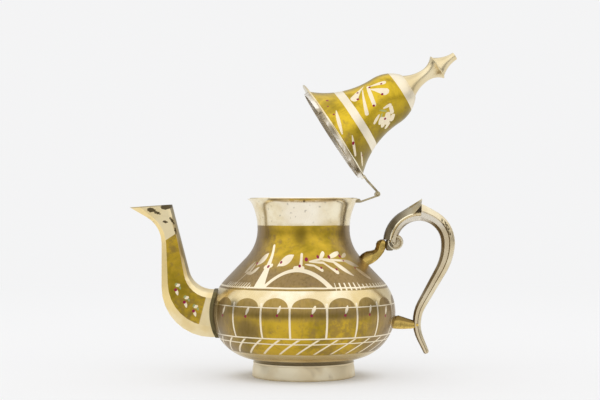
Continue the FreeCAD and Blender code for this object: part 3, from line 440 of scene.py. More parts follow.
def potMaterial():
    skin = potSkin
    material, shader, place = newMaterial("engravedPot")
    x, y, z = axes(place)
    turn, folded = turnRound(x, y)  # the back repeats the front's sprays
    wobble = (noise(place, 60.0, 2.0) - 0.5) * 0.7
    level = z + wobble
    shoulder = flat(folded * skin["perDegree"], z)

    # sprays, tower and dots on the shoulder
    above = rise(z, 61.0, 61.5)
    cuts = [most(*strokes(shoulder, skin["cuts"], skin["perDegree"])) * above]
    dots = dotsAt(shoulder, skin["dots"], skin["perDegree"])
    at, up, radius, half = skin["arch"]
    reach = shoulder.vector("DISTANCE", (at * skin["perDegree"], up, 0), "Value")
    widen = rise(folded, *skin["archWidens"]) * 0.45 + half
    cuts.append(edge(widen - abs(reach - radius)) * above)

    # fence line with slanted ticks on the left and upright ones on the right
    cuts.append(band(level, *skin["fence"], 0.12) * 0.95)
    tick = abs((folded / skin["tickApart"]).math("FRACT") - 0.5)
    upright = most(tickRow(folded, z, skin["tallTicks"]), tickRow(folded, z, skin["shortTicks"]))
    cuts.append(edge(0.145 - tick, 0.09) * upright)
    fine = abs(((folded - z * 0.6) / skin["leaningApart"]).math("FRACT") - 0.5)
    cuts.append(edge(0.17 - fine, 0.1) * tickRow(folded, z, skin["leaningTicks"]))

    # arcade: columns, arches, hanging strokes with dots
    first = skin["columns"][0][1]
    stops = []
    for angle, count in skin["columns"]:
        share = (count - first) / skin["cells"]
        stops.append(((angle + 180) / 360, colour(share, share, share)))
    ramp = turn.make("ShaderNodeValToRGB", {"stops": stops}, {0: (turn + 180) / 360})
    count = ramp * skin["cells"] + first
    cell = count.math("FLOOR")
    chance = cell.make("ShaderNodeTexWhiteNoise", {"noise_dimensions": "1D"}, {"W": cell + 0.5})
    across = (count - cell - 0.5) * skin["cellWidth"]
    columnGap = skin["cellWidth"] / 2 - abs(across)
    columns = edge(skin["columnHalf"] + wobble * 0.5 - columnGap) * band(z, skin["columnFoot"], 52.0, 0.3)
    archWide = across / (skin["archHalf"] + chance * 1.6 - 0.8)
    archTall = (z - skin["archFoot"]) / (skin["archRise"] + chance * 1.2 - 0.6)
    inArch = edge((1 - (archWide * archWide + archTall * archTall).math("SQRT")) * 6.0)
    plateBand = band(level, skin["archFoot"], skin["bandTop"]) * (1 - inArch)
    hanging = flat(across - chance * 3.6 + 1.0, z - chance * 2.4)
    cuts += strokes(hanging, skin["hanging"])
    dots += dotsAt(hanging, skin["hangingDot"])
    cuts.append(columns)
    cuts.append(band(level, *skin["midLine"], 0.1))

    # double line and slanting slashes below the arcade
    for low, high in skin["lowLines"]:
        cuts.append(band(level, low, high, 0.1))
    leaning = (turn - (z - skin["slashTop"]) * skin["slashLean"] + 3.0) * (skin["slashes"] / 360)
    slashGap = (0.5 - abs(leaning.math("FRACT") - 0.5)) * 6.6
    slashes = edge(skin["slashHalf"] + wobble * 0.3 - slashGap)
    cuts.append(slashes * band(z, skin["slashFoot"], skin["slashTop"], 0.4))

    plate = most(rise(level, skin["neckEdge"] - 0.15, skin["neckEdge"] + 0.15), plateBand,
                 1 - rise(level, skin["underEdge"] - 0.3, skin["underEdge"] + 0.3))
    cloudy = noise(place, 70.0, 3.0, 0.6, 0.5)
    aside = abs(folded) + cloudy * 20
    blot = patchAt(shoulder, skin["blot"], cloudy * 8)
    stain = patchAt(shoulder, skin["stain"], cloudy * 8)
    ringStain = band(z + cloudy * 2, *skin["ringStain"]) * (1 - rise(abs(folded + 6.0), 24.0, 40.0))
    thick = most(band(z + cloudy * 8, *skin["thickShoulder"]) * 0.85,
                 rise(aside, *skin["thickSides"]) * 0.85, band(z, *skin["thickArcade"]) * 0.65, stain * 0.95)
    golden = most(1 - rise(z, *skin["goldFoot"]),
                  band(z, *skin["goldBand"]) * rise(aside, *skin["goldSides"]) * 0.7)
    dim = rise(abs(folded + 2.0), *skin["dimSides"]) * rise(z, *skin["dimUp"])
    # painted highlight on the neck, towards its front and back
    paintedHighlight = rise(z, *skin["highlightNeck"]) * (1 - rise(aside, *skin["highlightSides"])) * 0.7
    # pits on the neck, a chip in the rim, and painted shade over the foot and beside the collar
    pitted = rise(noise(place, 420.0, 2.0), 0.66, 0.72) * rise(z, 101.0, 103.0) * 0.4
    chip = dot(flat(turn * 0.65, z), skin["chip"], skin["chipRound"]) * 0.8
    footShade = (1 - rise(z, *skin["footShade"])) * 0.92
    collarShade = rise(-x, *skin["collarShade"]) * band(z, *skin["collarShadeUp"]) * 0.6
    cutFinish(shader, place, plate, most(*cuts), most(*dots), thick=thick, dim=dim, paintedHighlight=paintedHighlight,
              plateShade=skin["oldPlate"], plateShare=golden * 0.8, spots=most(pitted, chip, footShade, collarShade),
              blot=most(blot * 0.85, stain * 0.7, ringStain * 0.55))
    return material


# Turned pieces
roundSides = {"pot": 192, "lid": 160, "foot": 144, "finial": 96}  # flats round each turned piece


def deselect():
    bpy.ops.object.select_all(action="DESELECT")


def settle(name, body, replaced):
    piece = bpy.context.active_object
    piece.name = name
    piece.data.name = name
    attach(piece, body)
    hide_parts(*replaced)
    return piece


def onArc(centre, radius, turn):
    angle = math.radians(turn)
    return centre[0] + radius * math.cos(angle), centre[1] + radius * math.sin(angle)


def arc(centre, radius, start, end, steps):
    return [onArc(centre, radius, start + (end - start) * step / steps) for step in range(steps + 1)]


def editAll():
    bpy.ops.object.mode_set(mode="EDIT")
    bpy.ops.mesh.select_all(action="SELECT")


def leaveEdit(sharp):  # edges stay sharp past this angle
    bpy.ops.object.mode_set(mode="OBJECT")
    bpy.ops.object.shade_smooth_by_angle(angle=math.radians(sharp))
    return bpy.context.active_object


def closeShape(sharp, filled=True):
    bpy.ops.mesh.select_all(action="SELECT")
    if filled:
        bpy.ops.mesh.fill_holes(sides=0)
    bpy.ops.mesh.select_all(action="SELECT")
    bpy.ops.mesh.normals_make_consistent(inside=False)
    return leaveEdit(sharp)


def turnOnAxis(levels, sides, ring=False):
    # levels are radius and height in millimetres: a circle is drawn up through them
    deselect()
    radius, height = levels[0]
    bpy.ops.mesh.primitive_circle_add(vertices=sides, radius=radius * mm, location=(0, 0, height * mm))
    bpy.ops.object.transform_apply(location=True)
    editAll()
    for nextRadius, nextHeight in levels[1:]:
        lift = (0, 0, (nextHeight - height) * mm)
        bpy.ops.mesh.extrude_edges_move(TRANSFORM_OT_translate={"value": lift})
        share = nextRadius / radius
        bpy.ops.transform.resize(value=(share, share, 1), center_override=(0, 0, nextHeight * mm))
        radius, height = nextRadius, nextHeight
    bpy.ops.mesh.select_all(action="SELECT")
    bpy.ops.mesh.remove_doubles(threshold=1e-6)
    return closeShape(35, not ring)


def turnRing(line, sides):  # a profile that closes on itself
    return turnOnAxis(line + line[:1], sides, ring=True)


def paint(piece, *materials):
    piece.data.materials.clear()
    for material in materials:
        piece.data.materials.append(material)


potShape = {
    "bellyCentre": (30.1, 42.7), "belly": 31.0, "slopeTurn": 43.6,
    "shoulderCentre": (58.2, 98.0), "shoulder": 27.5,
    "flareCentre": (70.66, 98.0), "flare": 39.96, "rimTurn": 149.3,
    "wall": 1.1, "axisGap": 0.6,
    "lipOut": 1.3, "lipDrop": 0.35, "underLip": 0.3, "innerLip": 0.3,  # the lip turns out at its edge
    "rimTop": 0.05, "rimOuter": 0.25, "rimInner": 0.2,
    "tinned": (12.5, 100.0), "tinnedFloor": 20.0,  # heights that the inside's tin covers
}


def potLevels(inset):
    shape = potShape
    levels = arc(shape["bellyCentre"], shape["belly"] - inset, -90, shape["slopeTurn"], 40)
    levels += arc(shape["shoulderCentre"], shape["shoulder"] + inset, 180 + shape["slopeTurn"], 180, 14)
    levels += arc(shape["flareCentre"], shape["flare"] + inset, 180, shape["rimTurn"], 10)[1:]
    return levels


outer = potLevels(0)
outer[-2] = (outer[-2][0] + potShape["underLip"], outer[-2][1])
lipEdge = (outer[-1][0] + potShape["lipOut"], outer[-1][1] - potShape["lipDrop"])
outer[-1] = lipEdge
inner = potLevels(potShape["wall"])[::-1]
inner[0] = (inner[0][0] + potShape["innerLip"], inner[0][1] - potShape["innerLip"])
rimUp = lipEdge[1] + potShape["rimTop"]
rim = [(lipEdge[0] - potShape["rimOuter"], rimUp), (inner[0][0] + potShape["rimInner"], rimUp)]
potLine = [(potShape["axisGap"], outer[0][1])] + outer + rim + inner + [(potShape["axisGap"], inner[-1][1])]
pot = turnOnAxis(potLine, roundSides["pot"])
paint(pot, potMaterial(), insideTin)
for face in pot.data.polygons:
    outward = face.normal.x * face.center.x + face.normal.y * face.center.y
    up = face.center.z / mm
    deepInside = potShape["tinned"][0] < up < potShape["tinned"][1] and outward < 0
    floorInside = face.normal.z > 0.5 and up < potShape["tinnedFloor"]
    face.material_index = 1 if deepInside or floorInside else 0
settle("potBody", "pot", ("pot_bowl", "pot_shoulder"))
print("pot turned")

footShape = {
    "hole": 31.7, "radius": 34.3, "edge": 1.2, "lip": 33.4, "seatIn": 0.8,
    "lipLine": ((0.45, 6.5), (-0.15, 8.9), (0.15, 9.4), (0.12, 10.1), (-0.25, 10.5)),  # out from the lip, up
}


def underBelly(radius):
    step = radius - potShape["bellyCentre"][0]
    return potShape["bellyCentre"][1] - math.sqrt(potShape["belly"] ** 2 - step * step)


footIn = footShape["radius"] - footShape["edge"]
footSeat = footShape["lip"] - footShape["seatIn"]
footLine = [(footShape["hole"], 0.0), (footIn, 0.0)]
footLine += arc((footIn, footShape["edge"]), footShape["edge"], -70, 0, 5)
footLine += [(footShape["lip"] + out, up) for out, up in footShape["lipLine"]]
footLine += [(footSeat, underBelly(footSeat)), (footShape["hole"], underBelly(footShape["hole"]))]
foot = turnRing(footLine, roundSides["foot"])
paint(foot, footSilver)
settle("footRing", "pot", ("foot_ring",))
print("foot turned")


# Lid, turned upright over the pot and swung open on its pin
lidShape = {
    "seat": 118.7, "opening": 57.0, "pin": (49.1, 121.2),
    "flange": 38.7, "flangeDepth": 1.1, "flangeHole": 30.6, "flangeEdge": 0.3,
    "solderLine": ((1.2, 0.0), (0.1, 0.15), (-0.6, 0.0)),  # out from the lip, up from the flange
    "bezel": (33.3, 31.9), "bezelDepth": 2.1, "hingeFlat": 35.6,
    "lip": 33.3, "waist": 17.3, "waistHeight": 41.0, "crown": 9.0, "crownHeight": 59.0, "wall": 1.1,
    "studHole": 2.2,
    "lowEdge": 14.7, "bandEdge": 20.1, "capEdge": 51.9,
    "perDegree": 0.36, "lowPerDegree": 0.50,  # millimetres on the bell, and near its lip
    # cuts and dots as on the pot's shoulder, by degrees and height over the seat
    "cuts": (
        (-60.0, 32.8, -36.0, 23.2, 0.3, 1.3, 2.5),
        (-50.0, 31.2, 3.0, 24.4, 0.2, 0.8, 1.3),
        (-52.0, 35.2, -4.0, 31.8, 0.9, 1.3, 1.2),
        (-40.0, 35.8, -16.0, 42.6, 0.4, 1.6, 2.7),
        (-50.0, 36.2, -37.8, 45.2, 0.3, 1.1, 1.7),
        (-53.0, 29.6, -46.0, 26.2, 0.3, 0.8, 1.2),
        (19.0, 31.0, 27.0, 25.4, 0.4, 1.0, 0.8),
        (13.0, 36.0, 14.5, 40.4, 0.6, 1.0, 1.2),
        (20.0, 40.2, 31.0, 39.2, 1.3, 1.3, 1.4),
        (40.0, 38.6, 48.0, 36.6, 1.5, 1.5, 1.4),
        (30.0, 36.0, 46.0, 33.0, 1.9, 2.3, 1.9),
        (52.0, 33.4, 56.5, 30.9, 1.3, 1.3, 1.3),
        (33.0, 32.0, 45.0, 29.4, 1.7, 1.9, 1.5),
        (28.0, 31.0, 35.0, 28.7, 1.1, 1.4, 1.3),
    ),
    "dots": (
        (-31.4, 24.8, 0.85), (-14.4, 40.0, 0.9), (-37.9, 43.5, 0.75), (-47.0, 35.9, 0.9),
        (-47.5, 27.2, 0.7), (-3.0, 31.2, 0.85), (34.5, 33.0, 0.85), (65.0, 33.2, 0.6),
    ),
    "greens": ((12.0, 33.0, 22.0, 36.4, 0.3, 0.7, 0.3), (20.0, 33.4, 26.0, 31.0, 0.2, 0.5, 0.2),
               (-50.0, 30.2, -44.0, 28.6, 0.2, 0.4, 0.2)),
    "lowCuts": ((-24.4, 8.4, 6.4, 3.2, 0.2, 1.15, 0.5), (16.9, 8.2, 38.8, 3.2, 0.3, 1.0, 0.8),
                (45.9, 7.6, 64.1, 4.0, 0.3, 0.8, 0.6)),
    "lowDots": ((-19.8, 5.6, 0.6), (25.4, 6.1, 1.05), (52.0, 7.2, 0.5), (-46.0, 7.4, 0.8), (-34.0, 5.4, 0.5)),
    "thickRight": (15.0, 75.0), "thickLeft": (50.0, 80.0),  # degrees
    "highlightCap": (50.0, 52.0), "oldPlate": colour(0.86, 0.72, 0.44),
}


def lidMaterial():
    skin = lidShape
    material, shader, place = newMaterial("engravedLid")
    x, y, z = axes(place)
    cosine = math.cos(math.radians(skin["opening"]))
    sine = math.sin(math.radians(skin["opening"]))
    pinX, pinZ = skin["pin"]
    swungX = x - pinX
    swungZ = z - pinZ
    closedX = swungX * cosine - swungZ * sine + pinX
    up = swungX * sine + swungZ * cosine + (pinZ - skin["seat"])
    _, folded = turnRound(closedX, y)
    level = up + (noise(place, 60.0, 2.0) - 0.5) * 0.5
    high = flat(folded * skin["perDegree"], up)
    low = flat(folded * skin["lowPerDegree"], up)
    cuts = strokes(high, skin["cuts"], skin["perDegree"])
    cuts += strokes(low, skin["lowCuts"], skin["lowPerDegree"])
    dots = dotsAt(high, skin["dots"], skin["perDegree"])
    dots += dotsAt(low, skin["lowDots"], skin["lowPerDegree"])
    greens = strokes(high, skin["greens"], skin["perDegree"])
    plateBand = band(level, skin["lowEdge"], skin["bandEdge"])
    plate = most(plateBand, rise(level, skin["capEdge"] - 0.15, skin["capEdge"] + 0.15))
    cloudy = noise(place, 70.0, 3.0, 0.6, 0.5)
    thick = most(rise(folded + cloudy * 40, *skin["thickRight"]) * 0.75, rise(cloudy, 0.52, 0.72) * 0.35,
                 rise(-folded, *skin["thickLeft"]) * 0.5)
    # painted highlight on the silver band and on the cap
    paintedHighlight = most(plateBand * 0.6, rise(level, *skin["highlightCap"]) * 0.5)
    cutFinish(shader, place, plate, most(*cuts), most(*dots), most(*greens) * 0.8, "yellow", thick, "moss",
              cast=0.22, plateShade=skin["oldPlate"], paintedHighlight=paintedHighlight)
    return material


def swing():
    # the turn on the pin, and where it takes what stood at the origin
    pin = Vector((lidShape["pin"][0] * mm, 0, lidShape["pin"][1] * mm))
    turn = Matrix.Rotation(math.radians(lidShape["opening"]), 3, "Y")
    return turn, pin - turn @ pin


def swingOpen():
    piece = bpy.context.active_object
    turn, move = swing()
    piece.rotation_euler = turn.to_euler()
    piece.location = move
    bpy.ops.object.transform_apply(location=True, rotation=True)


def hollowRound(narrow, wide):
    out = wide[0] - narrow[0]
    lift = wide[1] - narrow[1]
    return (out * out + lift * lift) / (2 * out)


def hollowCurve(narrow, wide, steps):
    # upright at its narrow end, flaring to its wide end
    radius = hollowRound(narrow, wide)
    turn = math.degrees(math.atan2(wide[1] - narrow[1], wide[0] - narrow[0] - radius))
    turn = turn if turn > 0 else turn + 360
    return arc((narrow[0] + radius, narrow[1]), radius, 180, turn, steps)


lid = lidShape
seat = lid["seat"]
flangeTop = seat + lid["flangeDepth"]
waist = (lid["waist"], seat + lid["waistHeight"])
lip = (lid["lip"], flangeTop)
bellRound = hollowRound(waist, lip)
domeRise = lid["crownHeight"] - lid["waistHeight"]
domeIn = lid["waist"] - lid["crown"]
domeRound = (domeIn ** 2 + domeRise ** 2) / (2 * domeIn)
domeTurn = math.degrees(math.asin(domeRise / domeRound))


def bellLevels(inset):
    centre = (waist[0] + bellRound, waist[1])
    lipTurn = math.degrees(math.asin((waist[1] - flangeTop) / (bellRound + inset)))
    levels = arc(centre, bellRound + inset, 180 + lipTurn, 180, 22)
    levels += arc((waist[0] - domeRound, waist[1]), domeRound - inset, 0, domeTurn - inset * 1.5, 14)[1:]
    return levels


bellOuter = bellLevels(0)
bellInner = bellLevels(lid["wall"])[::-1]
crownUp = bellOuter[-1][1]
bellLine = bellOuter + [(lid["studHole"], crownUp), (lid["studHole"], crownUp - lid["wall"])] + bellInner
bell = turnRing(bellLine, roundSides["lid"])
swingOpen()
paint(bell, lidMaterial(), insideTin)
lidTurn, axisSpot = swing()
axisWay = lidTurn @ Vector((0, 0, 1))
for face in bell.data.polygons:
    away = face.center - axisSpot
    away -= axisWay * away.dot(axisWay)
    face.material_index = 1 if face.normal.dot(away) < -1e-4 else 0
settle("lidBell", "lid", ("lid_bell",))

rimOut = lid["flange"]
bevel = lid["flangeEdge"]
flangeLine = [(lid["flangeHole"], seat), (rimOut - bevel, seat), (rimOut, seat + bevel)]
flangeLine += [(rimOut, flangeTop - bevel), (rimOut - bevel, flangeTop)]
flangeLine += [(lid["lip"] + out, flangeTop + up) for out, up in lid["solderLine"]]
flangeLine += [(lid["flangeHole"], flangeTop)]
turnRing(flangeLine, roundSides["lid"])
editAll()
# cut straight where the hinge strap is soldered on
hingeSide = (lid["hingeFlat"] * mm, 0, 0)
bpy.ops.mesh.bisect(plane_co=hingeSide, plane_no=(1, 0, 0), use_fill=True, clear_outer=True)
bpy.ops.object.mode_set(mode="OBJECT")
swingOpen()
paint(settle("lidFlange", "lid", ("lid_flange",)), brightSilver)

outside, within = lid["bezel"]
bezelFoot = seat - lid["bezelDepth"]
bezelLine = [(within, bezelFoot), (outside, bezelFoot), (outside + 0.05, seat), (within, seat)]
turnRing(bezelLine, roundSides["lid"])
swingOpen()
paint(settle("lidBezel", "lid", ("lid_bezel",)), bezelPatch)

finialShape = {
    "hole": 2.1, "base": 8.3, "waist": (4.1, 13.5), "disc": (8.4, 23.0), "discEdge": 0.3, "discProud": 0.1,
    "cone": 7.4, "tip": (2.6, 37.0), "tipEnd": 0.3, "tipIn": 0.35, "tipRound": 0.1,
}
finial = finialShape
crownTop = seat + lid["crownHeight"]
finialWaist = (finial["waist"][0], crownTop + finial["waist"][1])
discOut, discUp = finial["disc"][0], crownTop + finial["disc"][1]
finialTip = (finial["tip"][0], crownTop + finial["tip"][1])
finialEnd = finialTip[1] + finial["tipRound"]
finialLine = [(finial["hole"], crownTop)]
finialLine += hollowCurve(finialWaist, (finial["base"], crownTop), 14)[::-1]
finialLine += hollowCurve(finialWaist, (discOut, discUp - finial["discEdge"]), 14)[1:]
finialLine += [(discOut + finial["discProud"], discUp), (discOut, discUp + finial["discEdge"])]
finialLine += hollowCurve(finialTip, (finial["cone"], discUp + 2 * finial["discEdge"]), 14)[::-1]
finialLine += [(finialTip[0] - finial["tipIn"], finialEnd), (finial["tipEnd"], finialEnd)]
turnOnAxis(finialLine, roundSides["finial"])
swingOpen()
paint(settle("finialTurned", "lid", ("finial",)), finialGold)
print("lid turned and swung open")


# Bars drawn through stations
barSharp = 32  # edges of bars stay sharp past these degrees


def bothSides(half):
    return list(half) + [(outward, -sideways) for outward, sideways in reversed(half)]


def startRing(section):
    # a circle whose corners are moved one by one to the section's places, in shares of its depth and width
    deselect()
    bpy.ops.mesh.primitive_circle_add(vertices=len(section), radius=mm / 2)
    ring = bpy.context.active_object
    for index, (outward, sideways) in enumerate(section):
        bpy.ops.object.mode_set(mode="EDIT")
        bpy.ops.mesh.select_all(action="DESELECT")
        bpy.ops.object.mode_set(mode="OBJECT")
        ring.data.vertices[index].select = True
        move = Vector((outward * mm, sideways * mm, 0)) - ring.data.vertices[index].co
        bpy.ops.object.mode_set(mode="EDIT")
        bpy.ops.transform.translate(value=move)
    bpy.ops.mesh.select_all(action="SELECT")


def drawBar(stations, section):
    # the ring is carried along: place across and up, turn of its outward side, depth and width
    startRing(section)
    across, up, turn, depth, width = stations[0]
    bpy.ops.transform.resize(value=(depth, width, 1), center_override=(0, 0, 0))
    spot = Vector((0, 0, 0))
    lean = 0.0
    for step, (across, up, nextTurn, nextDepth, nextWidth) in enumerate(stations):
        if step:
            bpy.ops.mesh.extrude_edges_move(TRANSFORM_OT_translate={"value": (0, 0, 0)})
            tilt(-lean, spot)
            bpy.ops.transform.resize(value=(nextDepth / depth, nextWidth / width, 1), center_override=spot)
            lean = 0.0
        depth, width = nextDepth, nextWidth
        tilt(nextTurn - lean, spot)
        lean = nextTurn
        aim = Vector((across * mm, 0, up * mm))
        bpy.ops.transform.translate(value=aim - spot)
        spot = aim
    return closeShape(barSharp)


def tilt(degrees, spot):
    # turns the selected ring in the upright middle plane, from +X towards +Z
    bpy.ops.transform.rotate(value=math.radians(degrees), orient_axis="Y", center_override=spot)


def bevelAll(offset, segments):
    editAll()
    bpy.ops.mesh.bevel(offset=offset * mm, segments=segments)
    return leaveEdit(barSharp)


def between(first, last, share):
    return first + (last - first) * share


def midway(first, last, share):
    return between(first[0], last[0], share), between(first[1], last[1], share)


def acrossBar(outer, inner, width):
    away = Vector((outer[0] - inner[0], outer[1] - inner[1]))
    middle = midway(outer, inner, 0.5)
    return (*middle, math.degrees(math.atan2(away.y, away.x)), away.length, width)


def runOn(start, turn, way):  # straight on from a station whose outward side has this turn
    angle = math.radians(turn)
    return start[0] + way * math.sin(angle), start[1] - way * math.cos(angle), turn


def nearestStation(face, line):
    across, up = face.center.x / mm, face.center.z / mm
    return min(line, key=lambda spot: (across - spot[0]) ** 2 + (up - spot[1]) ** 2)


def joinAll(first, *others):
    deselect()
    for piece in others:
        piece.select_set(True)
    first.select_set(True)
    bpy.context.view_layer.objects.active = first
    bpy.ops.object.join()


handleShape = {
    "loopCentre": (77.0, 88.7), "loop": 19.3, "sweep": 37.0, "lean": 29.5, "run": 25.9,
    "footRound": 25.4, "tailLean": 24.4, "tailRun": 9.7,
    "loopDepth": 9.0, "footDepth": 6.2, "tailDepth": 3.6,
    "loopWidth": 9.0, "footWidth": 7.2, "tailWidth": 3.8,
    "tailEnd": ((0.3, 0.6, 0.8), (0.5, 1.0, 0.45)),  # out, down, share of the tail's size
    "leafDepth": 2.8, "leafSeat": (178.0, 87.0),
    # where the outer strip starts again under the leaf's tip: turns and rises above the loop
    "burr": ((86.6, 2.2), (80.0, 1.3), (72.0, 0.5), (64.0, 0.0)),
    # a narrow groove parts the outer bevel from the flat side
    "section": ((0.5, 0.12), (0.34, 0.37), (0.12, 0.48), (0.06, 0.44), (0.035, 0.5), (-0.30, 0.5),
                (-0.5, 0.22)),
    "volute": (61.2, 89.3), "voluteRound": 4.9, "voluteEye": 1.0, "voluteTurns": (168, 708),
    "voluteWidth": 9.6, "ridge": 1.3, "ridgeSection": ((0.5, 0.42), (0.3, 0.5), (-0.3, 0.5), (-0.5, 0.42)),
    "drumProud": 0.2, "drumWidth": 5.6, "drumEdge": 0.5,
    "root": ((54.8, 83.6), (59.8, 90.9)), "rootWidth": 7.0, "rootEdge": 1.2,
    # web in the notch under the leaf's tip: upper and lower edge
    "web": (((72.4, 108.8), (72.6, 108.0)), ((75.0, 110.6), (75.2, 108.5)),
            ((77.6, 113.2), (77.9, 108.6)), ((78.3, 113.6), (78.3, 108.6))),
    "webWidth": 3.0, "webSection": ((0.5, 0.4), (0.4, 0.5), (-0.5, 0.5)),
}


def handleStations():
    form = handleShape
    lean, tail = form["lean"], form["tailLean"]
    loop = form["loopCentre"]
    burrEnd = form["burr"][-1][0]
    turns = [(between(*form["leafSeat"], step / 12), -form["leafDepth"]) for step in range(13)]
    turns += list(form["burr"]) + [(burrEnd * (1 - step / 8), 0.0) for step in range(1, 9)]
    spots = []
    for turn, lift in turns:
        spot = onArc(loop, form["loop"] + lift / 2, turn)
        spots.append((*spot, turn, form["loopDepth"] + lift, form["loopWidth"]))
    sweepCentre = (loop[0] + form["loop"] - form["sweep"], loop[1])
    rest = []
    for step in range(1, 7):
        turn = -lean * step / 6
        rest.append((*onArc(sweepCentre, form["sweep"], turn), turn))
    sweepEnd = rest[-1]
    rest += [runOn(sweepEnd, -lean, form["run"] * step / 5) for step in range(1, 6)]
    footStart = len(rest)
    footCentre = onArc(rest[-1], form["footRound"], -lean)
    for step in range(1, 9):
        turn = between(-lean, tail, step / 8)
        rest.append((*onArc(footCentre, -form["footRound"], turn), turn))
    tailStart = rest[-1]
    rest += [runOn(tailStart, tail, form["tailRun"] * step / 4) for step in range(1, 5)]
    for line, thick, thin in ((rest[:footStart], "loop", "foot"), (rest[footStart:], "foot", "tail")):
        for step, station in enumerate(line, start=1):
            share = step / len(line)
            depth = between(form[thick + "Depth"], form[thin + "Depth"], share)
            spots.append((*station, depth, between(form[thick + "Width"], form[thin + "Width"], share)))
    across, up, turn, depth, width = spots[-1]
    for out, down, share in form["tailEnd"]:
        spots.append((across + out, up - down, turn, depth * share, width * share))
    return spots


def faceSides(piece, line):
    # outer, side and inner faces of a bar by the outward turn of the nearest station
    for face in piece.data.polygons:
        turn = math.radians(nearestStation(face, line)[2])
        outward = face.normal.x * math.cos(turn) + face.normal.z * math.sin(turn)
        face.material_index = 0 if outward > 0.3 else 2 if outward < -0.35 else 1


def voluteStations():
    form = handleShape
    spots = []
    for step in range(41):
        share = step / 40
        turn = between(*form["voluteTurns"], share)
        reach = between(form["voluteRound"], form["voluteEye"], share ** 1.6)
        spot = onArc(form["volute"], reach, turn)
        spots.append((*spot, turn, form["ridge"] * (1.0 - 0.35 * share), form["voluteWidth"]))
    return spots


barStations = handleStations()
handle = drawBar(barStations, bothSides(handleShape["section"]))
paint(handle, handleOuter, handleSide, handleInner)
faceSides(handle, barStations)

# rolled volute: a sunk drum with the raised spiral strip wound round it
ridge = drawBar(voluteStations(), bothSides(handleShape["ridgeSection"]))
paint(ridge, handleOuter)
deselect()
drumAcross, drumUp = handleShape["volute"]
bpy.ops.mesh.primitive_cylinder_add(
    vertices=48, radius=(handleShape["voluteRound"] + handleShape["drumProud"]) * mm,
    depth=handleShape["drumWidth"] * mm, location=(drumAcross * mm, 0, drumUp * mm),
    rotation=(math.pi / 2, 0, 0))
bpy.ops.object.transform_apply(location=True, rotation=True)
drum = bevelAll(handleShape["drumEdge"], 2)
paint(drum, voluteEye)

# root that joins the volute to the knob of the upper bracket
(rootLeft, rootLow), (rootRight, rootTop) = handleShape["root"]
rootAcross, rootUp = midway(*handleShape["root"], 0.5)
deselect()
bpy.ops.mesh.primitive_cube_add(size=1, location=(rootAcross * mm, 0, rootUp * mm))
root = bpy.context.active_object
root.scale = ((rootRight - rootLeft) * mm, handleShape["rootWidth"] * mm, (rootTop - rootLow) * mm)
bpy.ops.object.transform_apply(location=True, scale=True)
bevelAll(handleShape["rootEdge"], 3)
paint(root, rootBrown)

# dark web that fills the notch under the leaf's tip: a dark sheet that stands in for shade there
webLine = [acrossBar(top, low, handleShape["webWidth"]) for top, low in handleShape["web"]]
web = drawBar(webLine, bothSides(handleShape["webSection"]))
paint(web, notchShade)
joinAll(handle, ridge, drum, root, web)
settle("handleBar", "pot", ("handle",))

leafShape = {
    "seat": 19.3, "outer": 24.0, "start": 174.5, "lift": 125.0, "seatEnd": 102.5,
    "tip": (79.0, 118.2), "tipUnder": (78.4, 113.8),
    "width": 9.0, "rootShare": 0.78, "tipWidth": 2.4, "underShare": 0.36,
    "section": ((0.5, 0.26), (0.3, 0.46), (-0.36, 0.51), (-0.5, 0.535)),
}


def leafStations():
    leaf = leafShape
    centre = handleShape["loopCentre"]
    spots = []
    for step in range(9):
        turn = between(leaf["start"], leaf["lift"], step / 8)
        swell = between(leaf["rootShare"], 1, min(1, step / 4))
        outer = onArc(centre, leaf["outer"], turn)
        spots.append(acrossBar(outer, onArc(centre, leaf["seat"], turn), leaf["width"] * swell))
    lastOuter = onArc(centre, leaf["outer"], leaf["lift"])
    for step in range(1, 9):
        share = step / 8
        turn = between(leaf["lift"], leaf["seatEnd"], min(1, share * 2))
        inner = onArc(centre, leaf["seat"], turn)
        if share > 0.5:
            inner = midway(inner, leaf["tipUnder"], share * 2 - 1)
        width = between(leaf["width"], leaf["tipWidth"], share ** 2)
        spots.append(acrossBar(midway(lastOuter, leaf["tip"], share), inner, width))
    return spots


leafLine = leafStations()
leafPiece = drawBar(leafLine, bothSides(leafShape["section"]))
paint(leafPiece, leafBrown, brightSilver)
for face in leafPiece.data.polygons:
    across, up, turn, depth, _ = nearestStation(face, leafLine)
    away = Vector((face.center.x / mm - across, face.center.z / mm - up))
    outward = away.dot(Vector(onArc((0, 0), 1, turn)))
    face.material_index = 1 if outward < -leafShape["underShare"] * depth else 0
settle("thumbLeaf", "pot", ("thumb_leaf",))
print("handle and leaf drawn")

